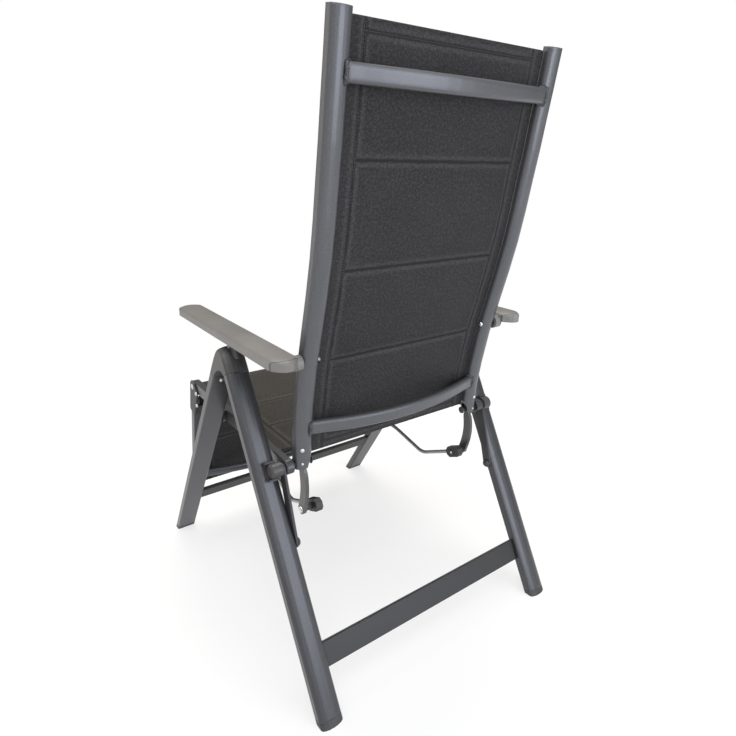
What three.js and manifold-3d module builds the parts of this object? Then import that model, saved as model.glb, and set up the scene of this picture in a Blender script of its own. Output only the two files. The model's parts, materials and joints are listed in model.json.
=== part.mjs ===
// Sling patio chair with a reclining back, a coupled footrest and a frame that folds flat.
// Millimetres, +Z up. X runs across the chair (the sitter's left is +X) and the front faces -Y.
// The two sides are mirror images, so each side piece is made once for the left and mirrored.
// A place in the side view is written as [y, z].

import * as THREE from 'three';
import Module from 'manifold-3d';

const wasm = await Module();
wasm.setup();
const { Manifold, Mesh: SolidMesh } = wasm;

// Fits shared by all pieces.
const face_gap = 0.3; // between faces that touch on the real chair
const running_clearance = 0.1; // round a pin that turns in its hole
const overrun = 2; // how far a cut runs past a face
const tube_wall = 1.8;
const corner_round = 2;

// The A frame: two D shaped legs a side, their flat faces towards the inside of the A.
const frame_half_width = 299;
const leg_width = 44;
const leg_depth = 15; // of the flat sides
const leg_crown = 7;
const front_heel_y = -350.7; // flat face of the front leg on the ground
const front_leg_lean = 33.82; // degrees from upright
const front_tube_length = 649;
const rear_leg_lean = 27.73;
const hinge_past_tube = 52.72; // from the end of the front tube to the fold pivot
const hinge_front_set = 8.95; // behind the flat face of the front leg
const hinge_rear_set = 1.02; // in front of the flat face of the rear leg
const hinge_to_tube = 26.8; // from the fold pivot down to the end of the rear tube
const foot_height = 12;
const foot_plug = 18;

// Where the pivots lie: along a leg from its foot, and out from the leg's flat face.
const hub_along = 439.82;
const hub_out = 38.02;
const link_along = 304.46;
const link_out = 7.53;
const boss_along = 491.78;
const boss_out = 7.97;
const seat_reach = 441; // from the back pivot forwards to the footrest pivot
const seat_rise = 19;
const rack_pin_behind = 18; // behind the fold pivot
const rack_pin_above = 33;
const arm_pivot_set = 3.43; // behind the upright's curve, level with the rack pin
const lever_drop = { y: -5, z: -101 }; // from the back pivot to the lever's eye

// The elbow over the fold pivot.
const elbow_front_reach = 75;
const elbow_rear_reach = 58;
const elbow_arch_front = 30;
const elbow_arch_rear = 12;
const elbow_wall = 5;
const elbow_spigot = 30;
const tongue_radius = 11.5;
const tongue_play = 1.7;
const tongue_side_play = 2;
const tongue_plug = 45;
const hinge_pin_radius = 4;

// The post that carries the rack pin under each armrest.
const post_thickness = 5;
const post_front = 16; // in front of the pin
const post_rear = 14;
const post_head_radius = 6.5;
const post_root = 2.5; // how deep the post stands in the elbow's crown
const rack_pin_radius = 4;
const rack_pin_half = 10.5;

// Stretchers.
const front_stretcher_width = 36;
const front_stretcher_depth = 10;
const front_stretcher_z = 134;
const front_stretcher_set = 1.9; // behind the flat faces
const rear_stretcher_width = 44;
const rear_stretcher_depth = 10;
const rear_stretcher_z = 88.5;
const rear_stretcher_set = 1.8; // in front of the flat faces

// Links between the rear legs and the seat.
const link_thickness = 5;
const link_width = 20;
const link_side_gap = 0.5; // to the leg's inner face
const link_pin_radius = 4;
const link_head_radius = 9;
const link_head_height = 7;
const link_pin_grip = 20; // reach into the leg

// Seat rails and the hubs that rest on the rear legs.
const rail_thickness = 16;
const rail_depth = 28;
const rail_side_gap = 6.5; // to the legs' inner faces
const hub_radius = 14;
const hub_pin_radius = 5;
const hub_end_set = 22; // inside the legs' outer faces
const hub_round = 3;
const saddle_wall = 4;
const saddle_inward = 15.4; // from the middle of the leg
const saddle_past_hub = 3.3;
const boss_radius = 11;
const boss_pin_radius = 5;
const seat_bar_depth = 18;
const seat_bar_height = 12;
const seat_bar_drop = 15; // below the rails' middle
const seat_bar_set = 110; // from the back pivot along the rail

// Back frame.
const upright_side_gap = 4.5; // to the seat rails
const upright_width = 33;
const upright_depth = 12; // of the flat sides
const upright_crown = 9;
const upright_front = 8.5; // flat face in front of the curve
const back_height = 693; // above the back pivot
const back_lean = 140; // how far the top stands behind the back pivot
const upright_tail = 8;
const upright_taper_height = 30;
const upright_taper_width = 11;
const cap_thickness = 3;
// Height and lean of the curved upright, as shares of the two sizes above.
const upright_curve_shares = [
  [0, 0], [0.075, 0.025], [0.165, 0.1], [0.267, 0.21], [0.365, 0.35], [0.456, 0.482],
  [0.541, 0.593], [0.624, 0.679], [0.7, 0.746], [0.774, 0.814], [0.844, 0.871], [0.912, 0.929], [1, 1],
];
const back_bar_height = 26;
const back_bar_depth = 14;
const back_bar_round = 5;
const back_bar_bow = 30;
const top_bar_drop = 71.5; // centre below the top of the uprights
const bottom_bar_rise = 72; // centre above the back pivot
const back_bar_set = 6.3; // behind the uprights' curve
const back_bar_reach = 8; // past the uprights' inner faces, over their crowns
const back_bolt_radius = 5;
const back_bolt_head = 8;
const back_bolt_head_height = 4;

// Levers below the back and the rods to the footrest.
const lever_thickness = 7;
const lever_inward = 20; // from the upright's outer side
const lever_width = 20;
const lever_tang_width = 12;
const lever_tang = 30;
const lever_tang_set = 0.8; // behind the upright's middle
const lever_bow = 9;
const rod_radius = 4.3;
const rod_eye_inward = 23; // from the lever
const rod_clevis_inward = 21; // from the eye
const rod_eye_thickness = 14;
const rod_eye_length = 40;
const rod_eye_height = 24;
const rod_eye_chamfer = 7;
const rod_low_reach = { y: -102, z: -44 }; // from the lever's eye
const rod_high_reach = { y: 242, z: -33 }; // from the footrest's eye
const rod_bend_radius = 14;
const clevis_radius = 10;
const clevis_length = 26;
const lever_bolt_radius = 4;
const lever_bolt_collar = 6.5;
const lever_bolt_head = 7;
const lever_bolt_head_height = 3.5;

// Footrest.
const foot_rail_thickness = 15.5;
const foot_rail_depth = 20;
const foot_rail_length = 301; // from the pivot to the lower end
const foot_rail_start = 36; // from the pivot to the upper end
const foot_rail_set = -10.5; // the rail's middle lies in front of the pivot
const foot_rail_lean = 12.9;
const foot_bolt_radius = 4;
const foot_bolt_head = 7;
const foot_bolt_head_height = 2.4;
const foot_bar_height = 20;
const foot_bar_depth = 12;
const foot_bar_bow = 28;
const foot_bar_rise = 24; // above the lower end of the rails
const foot_bar_set = 5; // behind the rails' middle
const bracket_thickness = 3;
const bracket_nose = 15;
const bracket_ear = 7;
const bracket_rear = 20;
const bracket_upper = 7;
const bracket_rivet_radius = 2;
const bracket_drop = 66;
const strap_thickness = 4;
const strap_height = 18;
const strap_drop = 58; // upper edge below the footrest pivot
const strap_set = 2.5; // behind the pivot line
const bracket_tab = 4;
const bracket_tab_radius = 9;
const foot_pin_radius = 4;

// Slings: padded panels between sewn seams, with a plain strip along each side.
const sling_edge = 3;
const back_pad = 13;
const back_strip = 27;
const back_sling_set = 4; // in front of the uprights' middle
const back_hem_rise = 13;
const back_sling_top_gap = 6;
const back_seam_shares = [0.267, 0.5, 0.742]; // of the sling's length above the hem
const seat_pad = 13;
const seat_strip = 30;
const seat_sling_rise = 6; // above the rails' middle
const seat_sling_rear = 49; // from the back pivot
const seat_sling_sag = 6;
const seat_seam_shares = [0.255, 0.548]; // of the sling's length from the rear edge
const foot_pad = 9;
const foot_strip = 30;
const foot_sling_top = 38;
const foot_sling_past = 22;
const foot_sling_set = 3; // in front of the rails' middle
const foot_seam_shares = [0.509];

// Armrests.
const arm_side_gap = 13; // to the upright
const arm_width = 50;
const arm_front_reach = 400; // in front of the pivot
const arm_rear_reach = 17;
const arm_front_bulge = 10;
const arm_rear_bulge = 18;
const arm_tilt = 1.24;
const arm_edge_height = 15; // of the top edge above the pivot
const arm_skirt = 14;
const arm_crown = 4.5;
const arm_crown_height = 7.2; // of the rounded top, its shoulder included
const arm_wall = 3;
const arm_corner = 7;
const arm_lobe_radius = 13;
const arm_bush_radius = 6.5;
const arm_bolt_radius = 4;
const arm_bolt_head = 5.5;
const arm_bolt_head_height = 3.5;
const arm_nut_radius = 8;
const rack_rib = 6;
const rack_tooth = 4.5;
const rack_end = 14;

// How the chair reclines, in degrees and counts.
const recline_travel = 45;
const rack_stops = 7;
const arm_recline_turn = 28.2; // turn of an armrest against the back over the whole recline

// Small helpers for the side view.
const radians = THREE.MathUtils.degToRad;
const add = (a, b, k = 1) => ({ y: a.y + b.y * k, z: a.z + b.z * k });
const dot = (a, b) => a.y * b.y + a.z * b.z;
const turn = (p, degrees) => {
  const c = Math.cos(radians(degrees));
  const s = Math.sin(radians(degrees));
  return { y: p.y * c - p.z * s, z: p.y * s + p.z * c };
};
const direction = (from, to) => {
  const length = Math.hypot(to.y - from.y, to.z - from.z);
  return { y: (to.y - from.y) / length, z: (to.z - from.z) / length };
};
const side = (x, p) => new THREE.Vector3(x, p.y, p.z);

/** A closed solid through sections of equal count; each section has its outline and its frame. */
function loft(sections) {
  const count = sections[0].outline.length;
  const points = [];
  const faces = [];
  for (const { outline, origin, u, v } of sections) {
    for (const [a, b] of outline) {
      const p = origin.clone().addScaledVector(u, a).addScaledVector(v, b);
      points.push(p.x, p.y, p.z);
    }
  }
  for (let row = 0; row + 1 < sections.length; row += 1) {
    for (let i = 0; i < count; i += 1) {
      const j = (i + 1) % count;
      const here = row * count;
      const next = here + count;
      faces.push(here + i, here + j, next + j, here + i, next + j, next + i);
    }
  }
  const cap = (row, flip) => {
    const contour = sections[row].outline.map(([a, b]) => new THREE.Vector2(a, b));
    for (const [i, j, k] of THREE.ShapeUtils.triangulateShape(contour, [])) {
      const base = row * count;
      faces.push(base + i, base + (flip ? k : j), base + (flip ? j : k));
    }
  };
  cap(0, true);
  cap(sections.length - 1, false);
  return fromFaces(points, faces);
}

/** Manifold from raw points and faces, turned outwards when the faces run the wrong way. */
function fromFaces(points, faces) {
  let volume = 0;
  const at = (i) => new THREE.Vector3(points[3 * i], points[3 * i + 1], points[3 * i + 2]);
  for (let i = 0; i < faces.length; i += 3) {
    volume += at(faces[i]).dot(at(faces[i + 1]).cross(at(faces[i + 2])));
  }
  if (volume < 0) {
    for (let i = 0; i < faces.length; i += 3) {
      [faces[i + 1], faces[i + 2]] = [faces[i + 2], faces[i + 1]];
    }
  }
  return new Manifold(new SolidMesh({
    numProp: 3,
    vertProperties: new Float32Array(points),
    triVerts: new Uint32Array(faces),
  }));
}

/** Counter-clockwise copy of an outline. */
function wound(outline) {
  const area = THREE.ShapeUtils.area(outline.map(([a, b]) => new THREE.Vector2(a, b)));
  return area < 0 ? [...outline].reverse() : outline;
}

/** A side-view outline, a list of {y, z}, carried across from x0 to x1. */
function slab(outline, x0, x1) {
  const ring = wound(outline.map((p) => [p.y, p.z]));
  const u = new THREE.Vector3(0, 1, 0);
  const v = new THREE.Vector3(0, 0, 1);
  return loft([x0, x1].map((x) => ({ outline: ring, origin: new THREE.Vector3(x, 0, 0), u, v })));
}

/** Round outline in the side view; fit grows it so that its flats stand off the radius. */
function disc(centre, radius, steps = 16, fit = false) {
  const r = fit ? radius / Math.cos(Math.PI / steps) : radius;
  return Array.from({ length: steps }, (_, i) => {
    const angle = (2 * Math.PI * i) / steps;
    return { y: centre.y + r * Math.cos(angle), z: centre.z + r * Math.sin(angle) };
  });
}

const crossPin = (centre, radius, x0, x1, steps = 16) =>
  slab(disc(centre, radius, steps), x0, x1);
const crossHole = (centre, radius, x0, x1) =>
  slab(disc(centre, radius + running_clearance, 16, true), x0, x1);

/** Pin with a domed head: the head grows from headAt towards the side given by its sign. */
function headedPin(centre, radius, from, to, headRadius, headAt, headHeight) {
  const dome_shares = [1, 0.94, 0.72, 0.3];
  const u = new THREE.Vector3(0, 1, 0);
  const v = new THREE.Vector3(0, 0, 1);
  const dome = loft(dome_shares.map((share) => ({
    outline: disc({ y: 0, z: 0 }, headRadius * share, 12).map((p) => [p.y, p.z]),
    origin: side(headAt + headHeight * Math.sqrt(1 - share * share), centre),
    u,
    v,
  })));
  return crossPin(centre, radius, from, to).add(dome);
}

/** Outline with both ends round, between two places of the side view. */
function stadium(a, b, radiusA, radiusB = radiusA, steps = 9) {
  const along = direction(a, b);
  const heading = Math.atan2(along.z, along.y);
  const arc = (centre, radius, start) => Array.from({ length: steps + 1 }, (_, i) => {
    const angle = heading + start + (Math.PI * i) / steps;
    return { y: centre.y + radius * Math.cos(angle), z: centre.z + radius * Math.sin(angle) };
  });
  return [...arc(b, radiusB, -Math.PI / 2), ...arc(a, radiusA, Math.PI / 2)];
}

/** Bar in the side view with eased long edges. */
function easedBar(outlineFor, x0, x1, ease) {
  const u = new THREE.Vector3(0, 1, 0);
  const v = new THREE.Vector3(0, 0, 1);
  const steps = [[x0, ease], [x0 + ease, 0], [x1 - ease, 0], [x1, ease]];
  return loft(steps.map(([x, inset]) => ({
    outline: wound(outlineFor(inset).map((p) => [p.y, p.z])),
    origin: new THREE.Vector3(x, 0, 0),
    u,
    v,
  })));
}

/** Points along a cubic curve in the side view. */
function curve(a, b, c, d, steps) {
  return Array.from({ length: steps + 1 }, (_, i) => {
    const t = i / steps;
    const w = [(1 - t) ** 3, 3 * t * (1 - t) ** 2, 3 * t * t * (1 - t), t ** 3];
    return {
      y: w[0] * a.y + w[1] * b.y + w[2] * c.y + w[3] * d.y,
      z: w[0] * a.z + w[1] * b.z + w[2] * c.z + w[3] * d.z,
    };
  });
}

/** Outline of a D shaped tube: across, then out from the flat face to the crown. */
function dOutline(width, depth, crown, inset = 0) {
  const half = width / 2 - inset;
  const ease = Math.max(corner_round - inset, corner_round / 4);
  const arcSteps = 8;
  const outline = [
    [-half + ease, inset], [half - ease, inset], [half, inset + ease],
  ];
  for (let i = 0; i <= arcSteps; i += 1) {
    const angle = (Math.PI * i) / arcSteps;
    outline.push([half * Math.cos(angle), depth - inset + crown * Math.sin(angle)]);
  }
  outline.push([-half, inset + ease]);
  return outline;
}

/** Outline of a bar with rounded edges: a across, b up, centred. */
function roundedOutline(a, b, radius, steps = 3) {
  const outline = [];
  const corners = [[1, 1, 0], [-1, 1, 1], [-1, -1, 2], [1, -1, 3]];
  for (const [sa, sb, quarter] of corners) {
    for (let i = 0; i <= steps; i += 1) {
      const angle = (Math.PI / 2) * (quarter + i / steps);
      outline.push([
        sa * (a / 2 - radius) + radius * Math.cos(angle),
        sb * (b / 2 - radius) + radius * Math.sin(angle),
      ]);
    }
  }
  return outline;
}

const mirrored = (solid) => solid.mirror([1, 0, 0]);
const X = new THREE.Vector3(1, 0, 0);

// Directions of the legs. Out points away from the inside of the A.
const leg_inner_x = frame_half_width - leg_width;
const leg_mid_x = frame_half_width - leg_width / 2;
const frontLeg = {
  foot: { y: front_heel_y, z: 0 },
  along: { y: Math.sin(radians(front_leg_lean)), z: Math.cos(radians(front_leg_lean)) },
  out: { y: -Math.cos(radians(front_leg_lean)), z: Math.sin(radians(front_leg_lean)) },
};
const onLeg = (leg, along, out) => add(add(leg.foot, leg.along, along), leg.out, out);
const fold_pivot = onLeg(frontLeg, front_tube_length + hinge_past_tube, -hinge_front_set);
const rearLeg = {
  along: { y: -Math.sin(radians(rear_leg_lean)), z: Math.cos(radians(rear_leg_lean)) },
  out: { y: Math.cos(radians(rear_leg_lean)), z: Math.sin(radians(rear_leg_lean)) },
};
const rearFace = add(fold_pivot, rearLeg.out, hinge_rear_set);
const rear_pivot_along = rearFace.z / rearLeg.along.z;
rearLeg.foot = add(rearFace, rearLeg.along, -rear_pivot_along);
const rear_tube_length = rear_pivot_along - hinge_to_tube;

// The other pivots.
const back_pivot = onLeg(rearLeg, hub_along, hub_out);
const link_pivot = onLeg(rearLeg, link_along, link_out);
const seat_pivot = onLeg(frontLeg, boss_along, boss_out);
const foot_pivot = add(back_pivot, { y: -seat_reach, z: seat_rise });
const rack_pin_place = add(fold_pivot, { y: rack_pin_behind, z: rack_pin_above });
const lever_eye = add(back_pivot, lever_drop);
const foot_eye = add(foot_pivot, lever_drop);
const rod_bend_low = add(lever_eye, rod_low_reach);
const rod_bend_high = add(foot_eye, rod_high_reach);

// Lanes across the chair, each set beside the one outside it.
const hub_outer_x = frame_half_width - hub_end_set;
const rail_outer_x = leg_inner_x - rail_side_gap;
const upright_outer_x = rail_outer_x - rail_thickness - upright_side_gap;
const lever_inner_x = upright_outer_x - lever_inward;
const rod_eye_x = lever_inner_x - rod_eye_inward;
const rod_clevis_x = rod_eye_x - rod_clevis_inward;
const arm_inner_x = upright_outer_x + arm_side_gap;

// The curved line of the uprights.
const uprightCurve = new THREE.CatmullRomCurve3(upright_curve_shares.map(([rise, lean]) =>
  new THREE.Vector3(0, back_pivot.y + lean * back_lean, back_pivot.z + rise * back_height)));
const uprightAt = (rise) => {
  const share = Math.min(Math.max(rise / back_height, 0), 1);
  const rows = upright_curve_shares;
  const row = Math.max(rows.findIndex(([r]) => r >= share), 1);
  const part = (share - rows[row - 1][0]) / (rows[row][0] - rows[row - 1][0]);
  const t = (row - 1 + part) / (rows.length - 1);
  const point = uprightCurve.getPoint(t);
  const tangent = uprightCurve.getTangent(t);
  const extra = rise - share * back_height;
  const along = direction({ y: 0, z: 0 }, { y: tangent.y, z: tangent.z });
  return { place: add({ y: point.y, z: point.z }, along, extra), along, back: { y: along.z, z: -along.y } };
};
const arm_pivot = {
  y: uprightAt(rack_pin_place.z - back_pivot.z).place.y + arm_pivot_set,
  z: rack_pin_place.z,
};

/** Part of a D section along a leg, between two distances from its foot. */
function legSection(leg, from, to, inset) {
  const v = side(0, leg.out);
  const outline = dOutline(leg_width, leg_depth, leg_crown, inset);
  return loft([from, to].map((along) => ({
    outline, origin: side(leg_mid_x, onLeg(leg, along, 0)), u: X, v,
  })));
}

/** Leg tube, open at both ends and cut level above its foot. */
function legTube(leg, length, holes) {
  const below = -leg_depth;
  let tube = legSection(leg, below, length, 0)
    .subtract(legSection(leg, below - overrun, length + overrun, tube_wall))
    .trimByPlane([0, 0, 1], foot_height);
  for (const [place, radius] of holes) {
    const hole = crossHole(place, radius, leg_inner_x - overrun, leg_inner_x + tube_wall + overrun);
    tube = tube.subtract(hole);
  }
  return tube;
}

/** Level foot with a plug in the tube. */
function legFoot(leg) {
  const reach = leg_depth + foot_height + foot_plug;
  const shoe = legSection(leg, -leg_depth, reach * 2, 0)
    .trimByPlane([0, 0, 1], 0)
    .trimByPlane([0, 0, -1], -(foot_height - face_gap));
  const plug = legSection(leg, -leg_depth, reach * 2, tube_wall + face_gap)
    .trimByPlane([0, 0, 1], foot_height / 2)
    .trimByPlane([0, 0, -1], -(foot_height + foot_plug));
  return shoe.add(plug);
}

const elbow_rear_end = rear_tube_length + face_gap * 2;

/** Side view of the elbow with its outer edge moved out by an amount. */
function elbowOutline(outwards) {
  const frontOut = onLeg(frontLeg, front_tube_length + face_gap, leg_depth);
  const frontIn = onLeg(frontLeg, front_tube_length + face_gap, 0);
  const rearOut = onLeg(rearLeg, elbow_rear_end, leg_depth);
  const rearIn = onLeg(rearLeg, elbow_rear_end, 0);
  const arch = curve(
    frontOut, add(frontOut, frontLeg.along, elbow_front_reach),
    add(rearOut, rearLeg.along, elbow_rear_reach), rearOut, 14,
  );
  const under = curve(
    rearIn, add(rearIn, rearLeg.along, elbow_arch_rear),
    add(frontIn, frontLeg.along, elbow_arch_front), frontIn, 8,
  );
  const moved = arch.map((p, i) => {
    const along = direction(arch[Math.max(i - 1, 0)], arch[Math.min(i + 1, arch.length - 1)]);
    return add(p, { y: -along.z, z: along.y }, outwards);
  });
  return [...moved, ...under].reverse();
}

/** The arch over the fold pivot: D crowned outside, hollow for the rear leg's tongue. */
function elbow() {
  const steps = 8;
  const crownAt = (offset) => leg_crown * Math.sqrt(Math.max(0, 1 - (2 * offset / leg_width) ** 2));
  const u = new THREE.Vector3(0, 1, 0);
  const v = new THREE.Vector3(0, 0, 1);
  const shell = loft(Array.from({ length: steps + 1 }, (_, i) => {
    const offset = (-leg_width / 2) * Math.cos((Math.PI * i) / steps);
    const outline = elbowOutline(crownAt(offset)).map((p) => [p.y, p.z]);
    return { outline, origin: new THREE.Vector3(leg_mid_x + offset, 0, 0), u, v };
  }));
  const room = tongue_radius + tongue_play;
  const x0 = leg_inner_x + elbow_wall;
  const x1 = frame_half_width - elbow_wall;
  const mouthAt = elbow_rear_end - elbow_wall;
  const frontMouth = add(fold_pivot, frontLeg.along, -hinge_to_tube - elbow_wall);
  const mouths = [
    crossPin(fold_pivot, room, x0, x1),
    crossPin(onLeg(rearLeg, mouthAt, leg_depth - tube_wall), face_gap, x0, x1, 8),
    crossPin(onLeg(rearLeg, mouthAt, tube_wall), face_gap, x0, x1, 8),
    crossPin(frontMouth, face_gap, x0, x1, 8),
  ];
  const spigot = legSection(
    frontLeg, front_tube_length - elbow_spigot, front_tube_length + elbow_wall * 2, tube_wall + face_gap,
  );
  const boreEnd = frame_half_width - tube_wall;
  const pinBore = crossHole(fold_pivot, hinge_pin_radius, leg_inner_x - overrun, boreEnd);
  const postSlot = postSolid(face_gap, true);
  return shell.add(spigot).subtract(Manifold.hull(mouths)).subtract(pinBore).subtract(postSlot);
}

/** Fin that stands in the elbow's crown and holds the rack pin; grown for its slot. */
function postSolid(grow, slotOnly = false) {
  const foot = fold_pivot.z + tongue_radius;
  const outline = [
    { y: rack_pin_place.y - post_front - grow, z: foot },
    { y: rack_pin_place.y + post_rear + grow, z: foot },
  ];
  const half = post_thickness / 2 + grow;
  const x0 = leg_mid_x - half;
  const x1 = leg_mid_x + half;
  const root = outline.map((p) => crossPin(p, corner_round / 2 + grow, x0, x1, 8));
  const head = crossPin(rack_pin_place, post_head_radius + grow, x0, x1);
  const crown = slab(elbowOutline(leg_crown - post_root - grow), x0 - overrun, x1 + overrun);
  const fin = Manifold.hull([head, ...root]).subtract(crown)
    .trimByPlane([0, 0, 1], foot);
  if (slotOnly) return fin;
  const pin = crossPin(
    rack_pin_place, rack_pin_radius, leg_mid_x - rack_pin_half, leg_mid_x + rack_pin_half,
  );
  return fin.add(pin);
}

/** Plug in the rear tube with the tongue that turns about the fold pivot. */
function hingeTongue() {
  const x0 = leg_inner_x + elbow_wall + tongue_side_play;
  const x1 = frame_half_width - elbow_wall - tongue_side_play;
  const top = rear_tube_length + face_gap;
  const inset = tube_wall + face_gap;
  const neck = [
    onLeg(rearLeg, rear_tube_length, inset), onLeg(rearLeg, rear_tube_length, leg_depth - inset),
    onLeg(rearLeg, top, leg_depth - inset), onLeg(rearLeg, top, inset),
  ];
  const tongue = Manifold.hull([crossPin(fold_pivot, tongue_radius, x0, x1), slab(neck, x0, x1)]);
  const plug = legSection(rearLeg, rear_tube_length - tongue_plug, top, inset);
  const bore = crossHole(fold_pivot, hinge_pin_radius, x0 - overrun, x1 + overrun);
  return tongue.add(plug).subtract(bore);
}

/** Flat bar between the legs, following their lean. */
function stretcher(leg, z, width, depth, outFrom) {
  const along = z / leg.along.z;
  const half = leg_inner_x - face_gap;
  const outline = roundedOutline(width, depth, corner_round);
  const centre = onLeg(leg, along, outFrom + depth / 2);
  const room = roundedOutline(width - tube_wall * 2, depth - tube_wall * 2, corner_round / 2);
  const bar = (ring, reach) => loft([-reach, reach].map((x) => ({
    outline: ring, origin: side(x, centre), u: side(0, leg.along), v: side(0, leg.out),
  })));
  return bar(outline, half).subtract(bar(room, half + overrun));
}

/** Link from the rear leg to the back pivot. */
function link() {
  const x1 = leg_inner_x - link_side_gap;
  const x0 = x1 - link_thickness;
  const bar = easedBar(
    (inset) => stadium(back_pivot, link_pivot, link_width / 2 - inset), x0, x1, link_thickness / 8,
  );
  return bar
    .subtract(crossHole(back_pivot, hub_pin_radius, x0 - overrun, x1 + overrun))
    .subtract(crossHole(link_pivot, link_pin_radius, x0 - overrun, x1 + overrun));
}

function linkPin() {
  const inner = leg_inner_x - link_side_gap - link_thickness - face_gap;
  return headedPin(
    link_pivot, link_pin_radius, inner, leg_inner_x + link_pin_grip,
    link_head_radius, inner, -link_head_height,
  );
}

/** Seat rail: a hollow flat-sided tube with round ends at the back and footrest pivots. */
function seatRail() {
  const x0 = rail_outer_x - rail_thickness;
  const half = rail_depth / 2;
  const ends = (inset) => stadium(back_pivot, foot_pivot, half - inset);
  const hollow = slab(ends(tube_wall), x0 + tube_wall, rail_outer_x - tube_wall);
  return easedBar(ends, x0, rail_outer_x, corner_round)
    .subtract(hollow)
    .subtract(crossHole(back_pivot, hub_pin_radius, x0 - overrun, rail_outer_x + overrun))
    .subtract(crossHole(foot_pivot, foot_bolt_radius, x0 - overrun, rail_outer_x + overrun));
}

/** Hub on the seat rail's end; its stub rests in the saddle on the rear leg. */
function hub() {
  const x0 = leg_inner_x + link_side_gap;
  const mid = rail_outer_x - rail_thickness / 2;
  const u = new THREE.Vector3(0, 1, 0);
  const v = new THREE.Vector3(0, 0, 1);
  const stations = [[x0, 0], [hub_outer_x - hub_round, 0], [hub_outer_x, hub_round]];
  const stub = loft(stations.map(([x, inset]) => ({
    outline: disc({ y: 0, z: 0 }, hub_radius - inset, 28).map((p) => [p.y, p.z]),
    origin: side(x, back_pivot),
    u,
    v,
  })));
  return stub.add(crossPin(back_pivot, hub_pin_radius, mid + face_gap, x0 + overrun));
}

/** Half ring on the rear leg that the hub bears on. */
function saddle() {
  const x0 = leg_mid_x - saddle_inward;
  const x1 = hub_outer_x + saddle_past_hub;
  const ring = crossPin(back_pivot, hub_radius + saddle_wall, x0, x1, 32)
    .subtract(crossPin(back_pivot, hub_radius + face_gap, x0 - overrun, x1 + overrun, 32));
  const keep = [rearLeg.out.y * -1, rearLeg.out.z * -1];
  const offset = dot({ y: keep[0], z: keep[1] }, back_pivot);
  const grown = legSection(
    rearLeg, 0, rear_tube_length, -face_gap,
  );
  return ring.trimByPlane([0, keep[0], keep[1]], offset + corner_round).subtract(grown);
}

/** Spacer on the front leg that the seat rail turns against. */
function seatBoss() {
  const disc0 = crossPin(seat_pivot, boss_radius, rail_outer_x + face_gap, leg_inner_x - face_gap, 28);
  const plug = crossPin(
    seat_pivot, boss_pin_radius, rail_outer_x + face_gap, leg_inner_x + link_pin_grip,
  );
  return disc0.add(plug);
}

const alongRail = direction(back_pivot, foot_pivot);
const railUp = { y: -alongRail.z * -1, z: alongRail.y * -1 };
const onRail = (along, up) => add(add(back_pivot, alongRail, along), railUp, up);

/** Bar bowed to the rear between x = -half and half, with flat ends that run past by an amount. */
function bowedBar(outline, half, place, u, v, bowWay, bow, past = 0) {
  const steps = 16;
  const reach = half + past;
  const sections = Array.from({ length: steps + 1 }, (_, i) => {
    const x = -reach + (2 * reach * i) / steps;
    const origin = side(x, add(place, bowWay, bow * (1 - Math.min(1, (x / half) ** 2))));
    return { outline, origin, u, v };
  });
  return loft(sections);
}

function seatBar() {
  const half = rail_outer_x - rail_thickness - face_gap;
  const outline = roundedOutline(seat_bar_depth, seat_bar_height, corner_round * 2);
  const centre = onRail(seat_bar_set, -seat_bar_drop);
  return loft([-half, half].map((x) => ({
    outline, origin: side(x, centre), u: side(0, alongRail), v: side(0, railUp),
  })));
}

const upright_rises = [-upright_tail, ...upright_curve_shares.map(([rise]) => rise * back_height)];

/** Section of the left upright at a rise, with a given outline. */
function uprightSection(rise, outline) {
  const { place, back } = uprightAt(rise);
  const origin = side(upright_outer_x - upright_width / 2, add(place, back, -upright_front));
  return { outline, origin, u: X, v: side(0, back) };
}

/** Curved D shaped upright, closed at the top and drawn in on its inner side at the foot. */
function upright() {
  const outline = dOutline(upright_width, upright_depth, upright_crown);
  const inner = dOutline(upright_width, upright_depth, upright_crown, tube_wall);
  const rises = upright_rises;
  const hollowRises = rises.map((rise, i) => {
    if (i === 0) return rise - overrun;
    return i === rises.length - 1 ? rise - cap_thickness : rise;
  });
  let tube = loft(rises.map((rise) => uprightSection(rise, outline)))
    .subtract(loft(hollowRises.map((rise) => uprightSection(rise, inner))));
  const taper = new THREE.Vector2(upright_taper_height, upright_taper_width).normalize();
  const start = upright_outer_x - upright_width;
  const cut = start * taper.x + (back_pivot.z - upright_tail + upright_taper_height) * taper.y;
  tube = tube.trimByPlane([taper.x, 0, taper.y], cut);
  return tube
    .subtract(crossHole(back_pivot, back_bolt_radius, start - overrun, upright_outer_x + overrun))
    .subtract(crossHole(arm_pivot, arm_bolt_radius, start - overrun, upright_outer_x + overrun));
}

/** Bowed bar welded between the uprights, its ends coped to their crowns. */
function backBar(rise) {
  const { place, along, back } = uprightAt(rise);
  const half = upright_outer_x - upright_width;
  const outline = roundedOutline(back_bar_depth, back_bar_height, back_bar_round);
  const set = add(place, back, back_bar_set);
  const bar = bowedBar(
    outline, half, set, side(0, back), side(0, along), back, back_bar_bow, back_bar_reach,
  );
  const grown = dOutline(upright_width, upright_depth, upright_crown, -face_gap);
  const cope = loft(upright_rises.map((height) => uprightSection(height, grown)));
  return bar.subtract(cope).subtract(mirrored(cope));
}

/** Bolt from the upright into the seat rail. */
function backBolt() {
  const x0 = upright_outer_x - upright_width;
  const mid = rail_outer_x - rail_thickness / 2;
  return headedPin(
    back_pivot, back_bolt_radius, x0 - face_gap, mid - face_gap, back_bolt_head,
    x0 - face_gap, -back_bolt_head_height,
  );
}

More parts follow.
